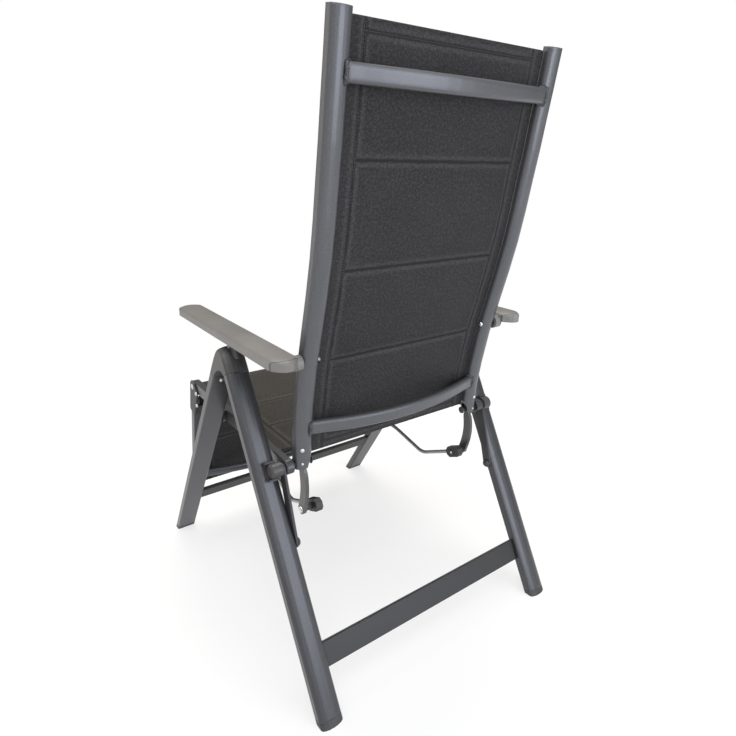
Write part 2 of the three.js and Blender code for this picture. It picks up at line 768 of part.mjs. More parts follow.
/** Flat lever: a tang inside the upright, then a bow down to the rod's eye. */
function lever() {
  const x0 = lever_inner_x;
  const x1 = x0 + lever_thickness;
  const tangTop = uprightAt(lever_tang);
  const drop = direction(back_pivot, lever_eye);
  const length = Math.hypot(lever_drop.y, lever_drop.z);
  const rear = { y: -drop.z, z: drop.y };
  const steps = 12;
  const left = [];
  const right = [];
  for (let i = 0; i <= steps; i += 1) {
    const t = i / steps;
    const centre = add(add(back_pivot, drop, length * t), rear, lever_bow * Math.sin(Math.PI * t));
    const swell = Math.min(1, Math.max(0, (t * length - upright_tail - corner_round) / upright_tail));
    const half = (lever_tang_width + (lever_width - lever_tang_width) * swell) / 2;
    left.push(add(centre, rear, -half));
    right.push(add(centre, rear, half));
  }
  const tang = [
    add(tangTop.place, tangTop.back, -lever_tang_width / 2 + lever_tang_set),
    add(tangTop.place, tangTop.back, lever_tang_width / 2 + lever_tang_set),
  ];
  const outline = [tang[0], ...left, ...right.reverse(), tang[1]];
  return slab(outline, x0, x1)
    .add(crossPin(lever_eye, lever_width / 2, x0, x1))
    .subtract(crossHole(back_pivot, back_bolt_radius, x0 - overrun, x1 + overrun))
    .subtract(crossHole(lever_eye, lever_bolt_radius, x0 - overrun, x1 + overrun));
}

/** Bolt through the lever's foot and the rod's eye, with its collar and two heads. */
function leverBolt() {
  const outer = lever_inner_x + lever_thickness + face_gap;
  const inner = rod_eye_x - rod_eye_thickness / 2 - face_gap;
  const collarFrom = rod_eye_x + rod_eye_thickness / 2 + face_gap;
  const pin = headedPin(
    lever_eye, lever_bolt_radius, inner, outer, lever_bolt_head, outer, lever_bolt_head_height,
  );
  const innerHead = headedPin(
    lever_eye, lever_bolt_radius, inner, inner + overrun, lever_bolt_head, inner, -lever_bolt_head_height,
  );
  const collar = crossPin(lever_eye, lever_bolt_collar, collarFrom, lever_inner_x - face_gap);
  return pin.add(innerHead).add(collar);
}

/** Bent rod from the lever's eye to the footrest's clevis, drawn as one round bar. */
function rod() {
  const lowWay = direction(lever_eye, rod_bend_low);
  const highWay = direction(foot_eye, rod_bend_high);
  const start = side(rod_eye_x, add(lever_eye, lowWay, rod_eye_length / 2 - overrun));
  const end = side(rod_clevis_x, add(foot_eye, highWay, clevis_length - overrun));
  const share = (y) => (lever_eye.y - y) / (lever_eye.y - foot_eye.y);
  const lane = (y) => rod_eye_x + (rod_clevis_x - rod_eye_x) * share(y);
  const corners = [
    start, side(lane(rod_bend_low.y), rod_bend_low), side(lane(rod_bend_high.y), rod_bend_high), end,
  ];
  const path = [start];
  for (let i = 1; i < corners.length - 1; i += 1) {
    const before = corners[i - 1].clone().sub(corners[i]).normalize();
    const after = corners[i + 1].clone().sub(corners[i]).normalize();
    const from = corners[i].clone().addScaledVector(before, rod_bend_radius);
    const to = corners[i].clone().addScaledVector(after, rod_bend_radius);
    path.push(...new THREE.QuadraticBezierCurve3(from, corners[i], to).getPoints(4));
  }
  path.push(end);
  const ring = disc({ y: 0, z: 0 }, rod_radius, 12).map((p) => [p.y, p.z]);
  const bar = loft(path.map((point, i) => {
    const along = path[Math.min(i + 1, path.length - 1)].clone().sub(path[Math.max(i - 1, 0)]).normalize();
    const v = along.clone().cross(X).normalize();
    return { outline: ring, origin: point, u: v.clone().cross(along), v };
  }));
  const out = direction(lever_eye, rod_bend_low);
  const up = { y: -out.z, z: out.y };
  const halfLength = rod_eye_length / 2;
  const halfHeight = rod_eye_height / 2;
  const eyeOutline = [
    [-halfLength, -halfHeight + rod_eye_chamfer], [-halfLength + rod_eye_chamfer, -halfHeight],
    [halfLength - rod_eye_chamfer, -halfHeight], [halfLength, -halfHeight + rod_eye_chamfer],
    [halfLength, halfHeight - rod_eye_chamfer], [halfLength - rod_eye_chamfer, halfHeight],
    [-halfLength + rod_eye_chamfer, halfHeight], [-halfLength, halfHeight - rod_eye_chamfer],
  ].map(([a, b]) => add(add(lever_eye, out, a), up, b));
  const eyeHalf = rod_eye_thickness / 2;
  const eye = slab(eyeOutline, rod_eye_x - eyeHalf, rod_eye_x + eyeHalf);
  const clevisEnd = add(foot_eye, highWay, clevis_length - clevis_radius / 2);
  const clevis = slab(
    stadium(foot_eye, clevisEnd, clevis_radius, clevis_radius / 2 + overrun),
    rod_clevis_x - eyeHalf, rod_clevis_x + eyeHalf,
  );
  const holeAt = (centre, radius, x) =>
    crossHole(centre, radius, x - rod_eye_thickness, x + rod_eye_thickness);
  return bar.add(eye).add(clevis)
    .subtract(holeAt(lever_eye, lever_bolt_radius, rod_eye_x))
    .subtract(holeAt(foot_eye, foot_pin_radius, rod_clevis_x));
}

// The footrest hangs from its pivot, leaning forward.
const footDown = { y: -Math.sin(radians(foot_rail_lean)), z: -Math.cos(radians(foot_rail_lean)) };
const footRear = { y: -footDown.z, z: footDown.y };
const onFoot = (down, rear) => add(add(foot_pivot, footDown, down), footRear, rear);

const foot_rail_inner_x = rail_outer_x - rail_thickness + face_gap;
const bracket_inner_x = rail_outer_x + face_gap;

function footRail() {
  const x1 = foot_rail_inner_x + foot_rail_thickness;
  const half = foot_rail_depth / 2;
  const start = onFoot(foot_rail_start + half, foot_rail_set);
  const end = onFoot(foot_rail_length - half, foot_rail_set);
  const ends = (inset) => stadium(start, end, half - inset);
  const hollow = slab(ends(tube_wall), foot_rail_inner_x + tube_wall, x1 - tube_wall);
  const rivetHole = crossHole(
    onFoot(bracket_drop, foot_rail_set), bracket_rivet_radius, x1 - tube_wall * 2, x1 + overrun,
  );
  return easedBar(ends, foot_rail_inner_x, x1, corner_round).subtract(hollow).subtract(rivetHole);
}

/** Bolt that carries the footrest on the seat rail. */
function footBolt() {
  const inner = rail_outer_x - rail_thickness + face_gap;
  const outer = bracket_inner_x + bracket_thickness + face_gap;
  return headedPin(
    foot_pivot, foot_bolt_radius, inner, outer, foot_bolt_head, outer, foot_bolt_head_height,
  );
}

function footBar() {
  const half = foot_rail_inner_x - face_gap;
  const outline = roundedOutline(foot_bar_depth, foot_bar_height, corner_round * 2);
  const place = onFoot(foot_rail_length - foot_bar_rise, foot_rail_set + foot_bar_set);
  return bowedBar(
    outline, half, place, side(0, footRear), side(0, { y: -footDown.y, z: -footDown.z }),
    footRear, foot_bar_bow,
  );
}

/** Side plate on the footrest rail with a strap inwards to the rod's clevis. */
function footBracket() {
  const x0 = bracket_inner_x;
  const x1 = x0 + bracket_thickness;
  const plate = Manifold.hull([
    crossPin(foot_pivot, bracket_nose, x0, x1),
    crossPin(onFoot(bracket_upper, bracket_rear), bracket_ear, x0, x1, 16),
    crossPin(onFoot(bracket_drop, bracket_ear), bracket_ear, x0, x1, 16),
    crossPin(onFoot(bracket_drop, foot_rail_set), bracket_ear, x0, x1, 16),
  ]);
  const strapInner = rod_clevis_x - rod_eye_thickness / 2 - bracket_tab - face_gap;
  const strapOutline = [
    onFoot(strap_drop, strap_set), onFoot(strap_drop, strap_set + strap_thickness),
    onFoot(strap_drop + strap_height, strap_set + strap_thickness),
    onFoot(strap_drop + strap_height, strap_set),
  ];
  const strap = slab(strapOutline, strapInner, x1);
  const gusset = Manifold.hull([
    slab(strapOutline, x0, x1), crossPin(onFoot(bracket_drop, bracket_ear), bracket_ear, x0, x1, 16),
  ]);
  const tab = Manifold.hull([
    crossPin(foot_eye, bracket_tab_radius, strapInner, strapInner + bracket_tab, 20),
    slab(strapOutline, strapInner, strapInner + bracket_tab),
  ]);
  const pin = crossPin(
    foot_eye, foot_pin_radius, strapInner, rod_clevis_x + rod_eye_thickness / 2 + overrun,
  );
  return plate.add(gusset).add(strap).add(tab).add(pin)
    .subtract(crossHole(foot_pivot, foot_bolt_radius, x0 - overrun, x1 + overrun));
}

/**
 * Padded sling: rows of stations from share 0 to 1 with pillows between the seams.
 * at(share) gives the middle of the row and the direction of its face.
 */
function sling({ at, length, half, strip, seams, pad, rows = 5, columns = 6, sag = 0 }) {
  const edges = [0, ...seams, length];
  const stations = [];
  for (let panel = 0; panel + 1 < edges.length; panel += 1) {
    for (let i = 0; i < rows; i += 1) {
      const eased = (1 - Math.cos((Math.PI * i) / rows)) / 2;
      const place = edges[panel] + (edges[panel + 1] - edges[panel]) * eased;
      stations.push({ panel, part: eased, place });
    }
  }
  stations.push({ panel: edges.length - 2, part: 1, place: length });
  const padHalf = half - strip;
  const across = [-half];
  for (let i = 0; i <= columns; i += 1) across.push(-padHalf * Math.cos((Math.PI * i) / columns));
  across.push(half);
  return loft(stations.map(({ part, place }) => {
    const { origin, face } = at(place / length);
    const pillow = Math.sqrt(Math.sin(Math.PI * part));
    const thickness = (x) => {
      const reach = Math.min(1, Math.abs(x) / padHalf);
      return sling_edge / 2 + ((pad - sling_edge) / 2) * pillow * Math.sqrt(Math.max(0, 1 - reach ** 4));
    };
    const dip = (x) => -sag * (1 - (x / half) ** 2) * Math.sin((Math.PI * place) / length);
    const front = across.map((x) => [x, dip(x) + thickness(x)]);
    const rear = [...across].reverse().map((x) => [x, dip(x) - thickness(x)]);
    return { outline: [...rear, ...front].reverse(), origin: side(0, origin), u: X, v: side(0, face) };
  }));
}

function backSling() {
  const top = back_height - back_sling_top_gap;
  const length = top - back_hem_rise;
  return sling({
    at: (share) => {
      const { place, back } = uprightAt(back_hem_rise + share * length);
      return { origin: add(place, back, -back_sling_set), face: { y: -back.y, z: -back.z } };
    },
    length, half: upright_outer_x - upright_width - face_gap, strip: back_strip,
    seams: back_seam_shares.map((share) => share * length), pad: back_pad,
  });
}

function seatSling() {
  const railLength = Math.hypot(foot_pivot.y - back_pivot.y, foot_pivot.z - back_pivot.z);
  const length = railLength - seat_sling_rear;
  return sling({
    at: (share) => ({ origin: onRail(seat_sling_rear + share * length, seat_sling_rise), face: railUp }),
    length, half: rail_outer_x - rail_thickness - face_gap, strip: seat_strip,
    seams: seat_seam_shares.map((share) => share * length), pad: seat_pad, sag: seat_sling_sag,
  });
}

function footSling() {
  const length = foot_rail_length - foot_sling_top + foot_sling_past - foot_rail_depth / 2;
  return sling({
    at: (share) => ({
      origin: onFoot(foot_sling_top + share * length, foot_rail_set - foot_sling_set),
      face: { y: -footRear.y, z: -footRear.z },
    }),
    length, half: rail_outer_x - rail_thickness - face_gap, strip: foot_strip,
    seams: foot_seam_shares.map((share) => share * length), pad: foot_pad, rows: 4,
  });
}

// The armrest is laid out in its own frame: forward from the pivot, and up.
const armForward = { y: -Math.cos(radians(arm_tilt)), z: Math.sin(radians(arm_tilt)) };
const armUp = { y: Math.sin(radians(arm_tilt)), z: Math.cos(radians(arm_tilt)) };
const onArm = (forward, up) => add(add(arm_pivot, armForward, forward), armUp, up);

/** Plan outline of the armrest with curved ends: forward, then across from the middle. */
function armPlan(inset) {
  const half = arm_width / 2 - inset;
  const ease_share = 0.3;
  const corner = Math.max(arm_corner - inset, corner_round / 2);
  const ease = corner * ease_share;
  const end = (reach, bulge, way) => {
    const points = [];
    const steps = 6;
    for (let i = 0; i <= steps; i += 1) {
      const share = -1 + (2 * i) / steps;
      const across = (half - ease) * share;
      points.push([way * (reach - inset + bulge * (1 - share * share)), -way * -across]);
    }
    points.unshift([way * (reach - inset - corner), -way * half]);
    points.push([way * (reach - inset - corner), way * half]);
    return points;
  };
  return [...end(arm_front_reach, arm_front_bulge, 1), ...end(arm_rear_reach, arm_rear_bulge, -1)];
}

/** Where the rack pin lies in the armrest's frame at a share of the recline. */
function rackPinInArm(share) {
  const armAt = add(back_pivot, turn(add(arm_pivot, back_pivot, -1), -recline_travel * share));
  const swing = (-recline_travel + arm_recline_turn) * share;
  const local = turn(add(rack_pin_place, armAt, -1), -swing);
  return { forward: dot(local, armForward), up: dot(local, armUp) };
}

/** Moulded armrest: crowned top, skirt, a lobe for the bolt and two notched ribs for the rack. */
function armrest() {
  const mid = arm_inner_x + arm_width / 2;
  const u = side(0, armForward);
  const shell = (inset, levels) => loft(levels.map(([up, draw]) => ({
    outline: armPlan(inset + draw), origin: side(mid, onArm(0, up)), u, v: X,
  })));
  const edge = arm_edge_height;
  const bottom = edge - arm_skirt;
  // How the crown draws in towards the middle: height and inset as shares.
  const crown_shares = [[0, 0], [0.35, 0.03], [0.62, 0.1], [0.82, 0.25], [0.95, 0.5], [1, 0.8]];
  const round = arm_crown_height;
  const crown = (base, draw) => crown_shares.map(([up, inward]) =>
    [base - (round - arm_crown) + round * up, inward * draw]);
  const outer = shell(0, [[bottom, 0], ...crown(edge, arm_width / 2)]);
  const roomTop = edge - arm_wall;
  const inner = shell(arm_wall, [[bottom - overrun, 0], ...crown(roomTop, arm_width / 2 - arm_wall * 2)]);
  const lobeInner = upright_outer_x + face_gap * 2;
  const lobe = crossPin(arm_pivot, arm_lobe_radius, lobeInner, arm_inner_x + arm_wall, 28);
  let body = outer.subtract(inner).add(lobe);
  const stops = Array.from({ length: rack_stops }, (_, i) => rackPinInArm(i / (rack_stops - 1)));
  const ribEdge = [
    onArm(stops[0].forward - rack_end, stops[0].up + rack_pin_radius),
    ...stops.map((stop) => onArm(stop.forward, stop.up + rack_pin_radius - rack_tooth)),
    onArm(stops.at(-1).forward + rack_end, stops.at(-1).up + rack_pin_radius),
  ];
  const ribTop = edge + arm_crown;
  const ribOutline = [
    ...ribEdge, onArm(stops.at(-1).forward + rack_end, ribTop), onArm(stops[0].forward - rack_end, ribTop),
  ];
  for (const way of [-1, 1]) {
    const near = leg_mid_x + way * (post_thickness / 2 + face_gap * 4);
    const far = near + way * rack_rib;
    const from = near - rack_rib * 2;
    const to = near + rack_rib * 2;
    let rib = slab(ribOutline, Math.min(near, far), Math.max(near, far)).intersect(outer);
    for (const stop of stops) {
      const notch = Manifold.hull([
        crossPin(onArm(stop.forward, stop.up), rack_pin_radius + face_gap, from, to, 20),
        crossPin(
          onArm(stop.forward, stop.up - rack_tooth * 2), rack_pin_radius + face_gap * 4, from, to, 20,
        ),
      ]);
      rib = rib.subtract(notch);
    }
    body = body.add(rib);
  }
  const bore = crossHole(arm_pivot, arm_bush_radius, lobeInner - overrun, arm_inner_x + arm_wall + overrun);
  return body.subtract(bore);
}

/** Bush in the armrest's lobe. */
function armBush() {
  const x0 = upright_outer_x + face_gap * 3;
  const x1 = arm_inner_x + arm_wall + face_gap;
  return crossPin(arm_pivot, arm_bush_radius, x0, x1)
    .subtract(crossHole(arm_pivot, arm_bolt_radius, x0 - overrun, x1 + overrun));
}

/** Bolt through the upright and the bush, with a head on the inside and a nut under the armrest. */
function armBolt() {
  const inner = upright_outer_x - upright_width - face_gap;
  const nutAt = arm_inner_x + arm_wall + face_gap * 2;
  const pin = headedPin(
    arm_pivot, arm_bolt_radius, inner, nutAt + arm_bolt_head_height,
    arm_bolt_head, inner, -arm_bolt_head_height,
  );
  return pin.add(crossPin(arm_pivot, arm_nut_radius, nutAt, nutAt + arm_bolt_head_height, 6));
}

// Finishes.
const finishes = {
  frame: { color: 0x4a4a4e, roughness: 0.42, metalness: 0.7 },
  flat_bar: { color: 0x55555a, roughness: 0.45, metalness: 0.75 },
  plastic: { color: 0x2f3033, roughness: 0.55, metalness: 0 },
  armrest: { color: 0x5b5b60, roughness: 0.5, metalness: 0.1 },
  fabric: { color: 0x17171a, roughness: 0.9, metalness: 0 },
  bright: { color: 0xc9c9cc, roughness: 0.25, metalness: 1 },
};

const chair = new THREE.Group();
chair.name = 'sling_patio_chair';

/** Adds a solid to the chair as a named mesh. */
function addPiece(name, solid, finish) {
  const { numProp, vertProperties, triVerts } = solid.getMesh();
  const geometry = new THREE.BufferGeometry();
  const points = new Float32Array((vertProperties.length / numProp) * 3);
  for (let i = 0; i < points.length / 3; i += 1) {
    points.set(vertProperties.subarray(i * numProp, i * numProp + 3), i * 3);
  }
  geometry.setAttribute('position', new THREE.BufferAttribute(points, 3));
  geometry.setIndex(new THREE.BufferAttribute(new Uint32Array(triVerts), 1));
  geometry.computeVertexNormals();
  const mesh = new THREE.Mesh(geometry, new THREE.MeshStandardMaterial(finishes[finish]));
  mesh.name = name;
  chair.add(mesh);
}

/** Adds the left piece and its mirror image. */
function addPair(name, solid, finish) {
  addPiece(`${name}_left`, solid, finish);
  addPiece(`${name}_right`, mirrored(solid), finish);
}

const leg_holes = {
  front: [[seat_pivot, boss_pin_radius]],
  rear: [[link_pivot, link_pin_radius]],
};

// Front frame.
addPair('front_leg', legTube(frontLeg, front_tube_length, leg_holes.front), 'frame');
addPair('front_foot', legFoot(frontLeg), 'plastic');
addPair('elbow', elbow(), 'frame');
addPair('hinge_pin', crossPin(
  fold_pivot, hinge_pin_radius, leg_inner_x + face_gap, frame_half_width - tube_wall - face_gap,
), 'bright');
addPair('armrest_post', postSolid(0), 'flat_bar');
addPair('seat_boss', seatBoss(), 'plastic');
addPiece('front_stretcher', stretcher(
  frontLeg, front_stretcher_z, front_stretcher_width, front_stretcher_depth, front_stretcher_set,
), 'frame');

// Rear frame.
addPair('rear_leg', legTube(rearLeg, rear_tube_length, leg_holes.rear), 'frame');
addPair('rear_foot', legFoot(rearLeg), 'plastic');
addPair('hinge_tongue', hingeTongue(), 'plastic');
addPair('hub_saddle', saddle(), 'plastic');
addPair('link_pin', linkPin(), 'bright');
addPiece('rear_stretcher', stretcher(
  rearLeg, rear_stretcher_z, rear_stretcher_width, rear_stretcher_depth, -rear_stretcher_set,
), 'frame');

// Links, seat and back.
addPair('link', link(), 'flat_bar');
addPair('seat_rail', seatRail(), 'frame');
addPair('seat_hub', hub(), 'plastic');
addPiece('seat_bar', seatBar(), 'frame');
addPiece('seat_sling', seatSling(), 'fabric');
addPair('back_bolt', backBolt(), 'bright');
addPair('upright', upright(), 'frame');
addPiece('top_bar', backBar(back_height - top_bar_drop), 'frame');
addPiece('bottom_bar', backBar(bottom_bar_rise), 'frame');
addPiece('back_sling', backSling(), 'fabric');

// Levers, rods and footrest.
addPair('lever', lever(), 'flat_bar');
addPair('lever_bolt', leverBolt(), 'bright');
addPair('push_rod', rod(), 'flat_bar');
addPair('foot_bolt', footBolt(), 'bright');
addPair('foot_rail', footRail(), 'frame');
addPair('foot_bracket', footBracket(), 'flat_bar');
addPiece('foot_bar', footBar(), 'frame');
addPiece('foot_sling', footSling(), 'fabric');

// Armrests.
addPair('arm_bolt', armBolt(), 'bright');
addPair('arm_bush', armBush(), 'plastic');
addPair('armrest', armrest(), 'armrest');

export default chair;
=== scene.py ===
"""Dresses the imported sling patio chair: slings, stitches, rivets, welds, finishes, light and camera."""

import json
import logging
import math
from collections.abc import Callable, Sequence
from dataclasses import dataclass
from enum import Enum

import bpy
from mathutils import Matrix, Vector

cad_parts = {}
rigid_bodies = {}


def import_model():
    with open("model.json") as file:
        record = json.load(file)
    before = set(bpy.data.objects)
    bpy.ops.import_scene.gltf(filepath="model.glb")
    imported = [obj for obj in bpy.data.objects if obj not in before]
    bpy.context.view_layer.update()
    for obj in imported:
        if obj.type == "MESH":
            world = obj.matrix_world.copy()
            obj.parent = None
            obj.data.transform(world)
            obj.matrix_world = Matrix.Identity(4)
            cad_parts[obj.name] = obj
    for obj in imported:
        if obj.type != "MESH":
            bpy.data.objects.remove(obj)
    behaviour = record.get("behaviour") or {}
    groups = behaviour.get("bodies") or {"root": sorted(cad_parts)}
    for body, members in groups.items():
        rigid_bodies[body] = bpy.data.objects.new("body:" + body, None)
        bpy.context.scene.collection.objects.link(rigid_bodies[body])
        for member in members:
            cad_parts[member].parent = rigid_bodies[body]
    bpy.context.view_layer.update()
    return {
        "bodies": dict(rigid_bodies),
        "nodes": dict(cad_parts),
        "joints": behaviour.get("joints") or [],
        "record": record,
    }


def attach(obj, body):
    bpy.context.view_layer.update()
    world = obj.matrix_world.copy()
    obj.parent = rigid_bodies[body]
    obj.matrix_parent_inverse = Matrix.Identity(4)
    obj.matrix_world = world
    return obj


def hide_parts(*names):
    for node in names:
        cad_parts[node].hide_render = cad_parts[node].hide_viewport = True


log = logging.getLogger("patio_chair")

Point = tuple[float, float]
Triple = tuple[float, float, float]
Line = Callable[[float], tuple[Vector, Vector]]


@dataclass(frozen=True)
class Frame:
    """Sizes of the CAD model that the dressed pieces follow, in metres and degrees.

    A place in the side view is (y, z).
    """

    half_width: float = 0.299
    leg_width: float = 0.044
    front_heel: float = -0.3507
    front_lean: float = 33.82
    front_tube: float = 0.649
    back_pivot: Point = (0.1813, 0.407)
    foot_pivot: Point = (-0.2597, 0.426)
    arm_pivot: Point = (0.2193, 0.611)
    lever_eye: Point = (0.1763, 0.306)
    foot_eye: Point = (-0.2647, 0.325)
    upright_outer: float = 0.228
    upright_width: float = 0.033
    upright_depth: float = 0.012
    upright_crown: float = 0.009
    upright_front: float = 0.0085
    back_height: float = 0.693
    back_lean: float = 0.140
    rail_outer: float = 0.2485
    rail_width: float = 0.016
    sling_gap: float = 0.0003
    foot_lean: float = 12.9
    foot_set: float = -0.0105
    bracket_face: float = 0.2518
    curve_shares: tuple[Point, ...] = (
        (0, 0), (0.075, 0.025), (0.165, 0.1), (0.267, 0.21), (0.365, 0.35), (0.456, 0.482), (0.541, 0.593),
        (0.624, 0.679), (0.7, 0.746), (0.774, 0.814), (0.844, 0.871), (0.912, 0.929), (1, 1),
    )

    @property
    def leg_middle(self) -> float:
        """Middle of a leg across the chair."""
        return self.half_width - self.leg_width / 2

    @property
    def upright_inner(self) -> float:
        """Inner face of an upright."""
        return self.upright_outer - self.upright_width

    @property
    def rail_inner(self) -> float:
        """Inner face of a seat rail or footrest rail."""
        return self.rail_outer - self.rail_width

    def front_leg(self) -> tuple[Vector, Vector, Vector]:
        """Foot of a front leg, the direction up along it and the direction out of its front."""
        lean = math.radians(self.front_lean)
        s, c = math.sin(lean), math.cos(lean)
        return Vector((0, self.front_heel, 0)), Vector((0, s, c)), Vector((0, -c, s))

    def crown_at(self, offset: float) -> tuple[float, float]:
        """Back of an upright at a distance from its middle line.

        Args:
            offset: Distance across, from the middle.

        Returns:
            Depth behind the upright's curve, and the tilt of the surface in radians.
        """
        half = self.upright_width / 2
        share = min(abs(offset) / half, 0.999)
        rise = math.sqrt(1 - share * share)
        tilt = math.atan2(share / half, rise / self.upright_crown)
        depth = self.upright_depth - self.upright_front + self.upright_crown * rise
        return depth, math.copysign(tilt, offset)

    def upright_at(self, rise: float) -> tuple[Vector, Vector, Vector]:
        """Middle of an upright at a height above the back pivot.

        Args:
            rise: Height above the pivot.

        Returns:
            The place, the direction along the upright and the direction to the rear.
        """
        rows = self.curve_shares
        low_y, low_z = self.back_pivot
        knots = [
            Vector((0, low_y + lean * self.back_lean, low_z + up * self.back_height)) for up, lean in rows
        ]
        share = min(max(rise / self.back_height, 0), 1)
        row = max(next(i for i, (up, _) in enumerate(rows) if up >= share - 1e-12), 1)
        part = (share - rows[row - 1][0]) / (rows[row][0] - rows[row - 1][0])

        def spot(t: float) -> Vector:
            """Point of the centripetal curve through the knots, t counted in knots."""
            i = min(max(int(math.floor(t)), 0), len(knots) - 2)
            w = t - i
            b, c = knots[i], knots[i + 1]
            a = knots[i - 1] if i > 0 else 2 * b - c
            d = knots[i + 2] if i + 2 < len(knots) else 2 * c - b
            t0, t1, t2 = ((q - p).length ** 0.5 for p, q in ((a, b), (b, c), (c, d)))
            m1 = ((b - a) / t0 - (c - a) / (t0 + t1) + (c - b) / t1) * t1
            m2 = ((c - b) / t1 - (d - b) / (t1 + t2) + (d - c) / t2) * t1
            return (
                b + m1 * w + (-3 * b + 3 * c - 2 * m1 - m2) * w * w + (2 * b - 2 * c + m1 + m2) * w**3
            )

        t = row - 1 + part
        near, far = max(t - 1e-3, 0), min(t + 1e-3, len(knots) - 1)
        along = (spot(far) - spot(near)).normalized()
        place = spot(t) + along * (rise - share * self.back_height)
        return place, along, Vector((0, along.z, -along.y))


CHAIR = Frame()


class Side(Enum):
    """Which side of the chair a piece is on, as the sign of its x."""

    LEFT = 1
    RIGHT = -1

    @property
    def word(self) -> str:
        """Word used in names."""
        return self.name.lower()

    @property
    def out(self) -> Vector:
        """Direction away from the chair's middle."""
        return Vector((self.value, 0, 0))


# Shader helpers.


class Sock:
    """A number socket that is used in sums."""

    def __init__(self, graph: "Graph", socket: bpy.types.NodeSocket) -> None:
        """Keeps the graph and the socket."""
        self.graph = graph
        self.socket = socket

    def _do(self, operation: str, *values: "Sock | float") -> "Sock":
        """Adds a Math node for an operation on values."""
        return self.graph.add("ShaderNodeMath", {"operation": operation}, dict(enumerate(values)))

    def __add__(self, other: "Sock | float") -> "Sock":
        """Sum."""
        return self._do("ADD", self, other)

    __radd__ = __add__

    def __mul__(self, other: "Sock | float") -> "Sock":
        """Product."""
        return self._do("MULTIPLY", self, other)

    __rmul__ = __mul__

    def __sub__(self, other: "Sock | float") -> "Sock":
        """Difference."""
        return self._do("SUBTRACT", self, other)

    def __rsub__(self, other: "Sock | float") -> "Sock":
        """Difference from a number."""
        return self._do("SUBTRACT", other, self)

    def power(self, other: float) -> "Sock":
        """Power."""
        return self._do("POWER", self, other)

    def wave(self) -> "Sock":
        """Sine of the value."""
        return self._do("SINE", self)

    def size(self) -> "Sock":
        """Absolute value."""
        return self._do("ABSOLUTE", self)

    def most(self, other: "Sock") -> "Sock":
        """Larger of two values."""
        return self._do("MAXIMUM", self, other)

    def over(self, level: float) -> "Sock":
        """One where the value is above a level."""
        return self._do("GREATER_THAN", self, level)

    def step(self, low: float, high: float, bottom: float = 0.0, top: float = 1.0) -> "Sock":
        """Smooth step from bottom at low to top at high."""
        inputs = {0: self, 1: low, 2: high, 3: bottom, 4: top}
        return self.graph.add("ShaderNodeMapRange", {"interpolation_type": "SMOOTHSTEP"}, inputs)


class Graph:
    """Node tree of a material or of the world."""

    def __init__(self, owner: bpy.types.Material | bpy.types.World, output: str) -> None:
        """Empties the owner's tree and adds its output."""
        self.owner = owner
        owner.use_nodes = True
        self.tree = owner.node_tree
        self.tree.nodes.clear()
        self.output = self.tree.nodes.new(output)

    @classmethod
    def material(cls, name: str) -> "Graph":
        """Tree of a new material."""
        return cls(bpy.data.materials.new(name), "ShaderNodeOutputMaterial")

    def put(self, socket: bpy.types.NodeSocket, value: object) -> None:
        """Links one input to a socket, or sets it to a value."""
        if isinstance(value, Sock):
            self.tree.links.new(value.socket, socket)
        else:
            socket.default_value = value

    def add(
        self, kind: str, settings: dict[str, object], inputs: dict[str | int, object], output: int | str = 0
    ) -> Sock:
        """Adds a node.

        Args:
            kind: Node type.
            settings: Properties, set before the inputs.
            inputs: Values or links by socket name or number.
            output: Output that is returned.

        Returns:
            The chosen output.
        """
        node = self.tree.nodes.new(kind)
        for key, value in settings.items():
            setattr(node, key, value)
        for key, value in inputs.items():
            self.put(node.inputs[key], value)
        return Sock(self, node.outputs[output])

    def show(self, shader: Sock) -> None:
        """Links a shader to the output."""
        self.put(self.output.inputs["Surface"], shader)

    def ray(self, kind: str) -> Sock:
        """One for rays of a kind."""
        return self.add("ShaderNodeLightPath", {}, {}, kind)

    def axis(self, where: Sock, number: int) -> Sock:
        """One coordinate of a place."""
        return self.add("ShaderNodeSeparateXYZ", {}, {0: where}, number)

    def vector(self, operation: str, first: Sock, second: Sock | Triple, output: str = "Value") -> Sock:
        """Vector maths on two vectors."""
        return self.add("ShaderNodeVectorMath", {"operation": operation}, {0: first, 1: second}, output)

    def away(self, where: Sock, spot: Point) -> Sock:
        """Distance from a place of the side view, on either side of the chair."""
        return self.vector("DISTANCE", self.vector("MULTIPLY", where, (0, 1, 1), "Vector"), (0, *spot))

    def soft_edges(self, radius: float, samples: int = 4) -> Sock:
        """Normal that rounds edges to a radius."""
        return self.add("ShaderNodeBevel", {"samples": samples}, {"Radius": radius})

    def place(self) -> Sock:
        """Object coordinates."""
        return self.add("ShaderNodeTexCoord", {}, {}, "Object")

    def noise(self, where: Sock, scale: float, detail: float = 3, roughness: float = 0.5) -> Sock:
        """Noise value at a scale per metre."""
        inputs = {"Vector": where, "Scale": scale, "Detail": detail, "Roughness": roughness}
        return self.add("ShaderNodeTexNoise", {}, inputs)

    def blend(self, factor: Sock | float, first: Triple | Sock, second: Triple | Sock) -> Sock:
        """Mix of two colours."""
        rgba = [(*c, 1) if isinstance(c, tuple) else c for c in (first, second)]
        return self.add("ShaderNodeMix", {"data_type": "RGBA"}, {0: factor, 6: rgba[0], 7: rgba[1]}, 2)

    def bump(self, height: Sock, distance: float, strength: float, normal: Sock | None = None) -> Sock:
        """Normal from a height, on top of another normal where one is given."""
        inputs = {"Height": height, "Distance": distance, "Strength": strength}
        if normal is not None:
            inputs["Normal"] = normal
        return self.add("ShaderNodeBump", {}, inputs)

    def surface(self, **inputs: object) -> bpy.types.Material:
        """Principled surface; names use _ for a space."""
        named = {key.replace("_", " "): value for key, value in inputs.items()}
        self.show(self.add("ShaderNodeBsdfPrincipled", {}, named))
        return self.owner


# Finishes.


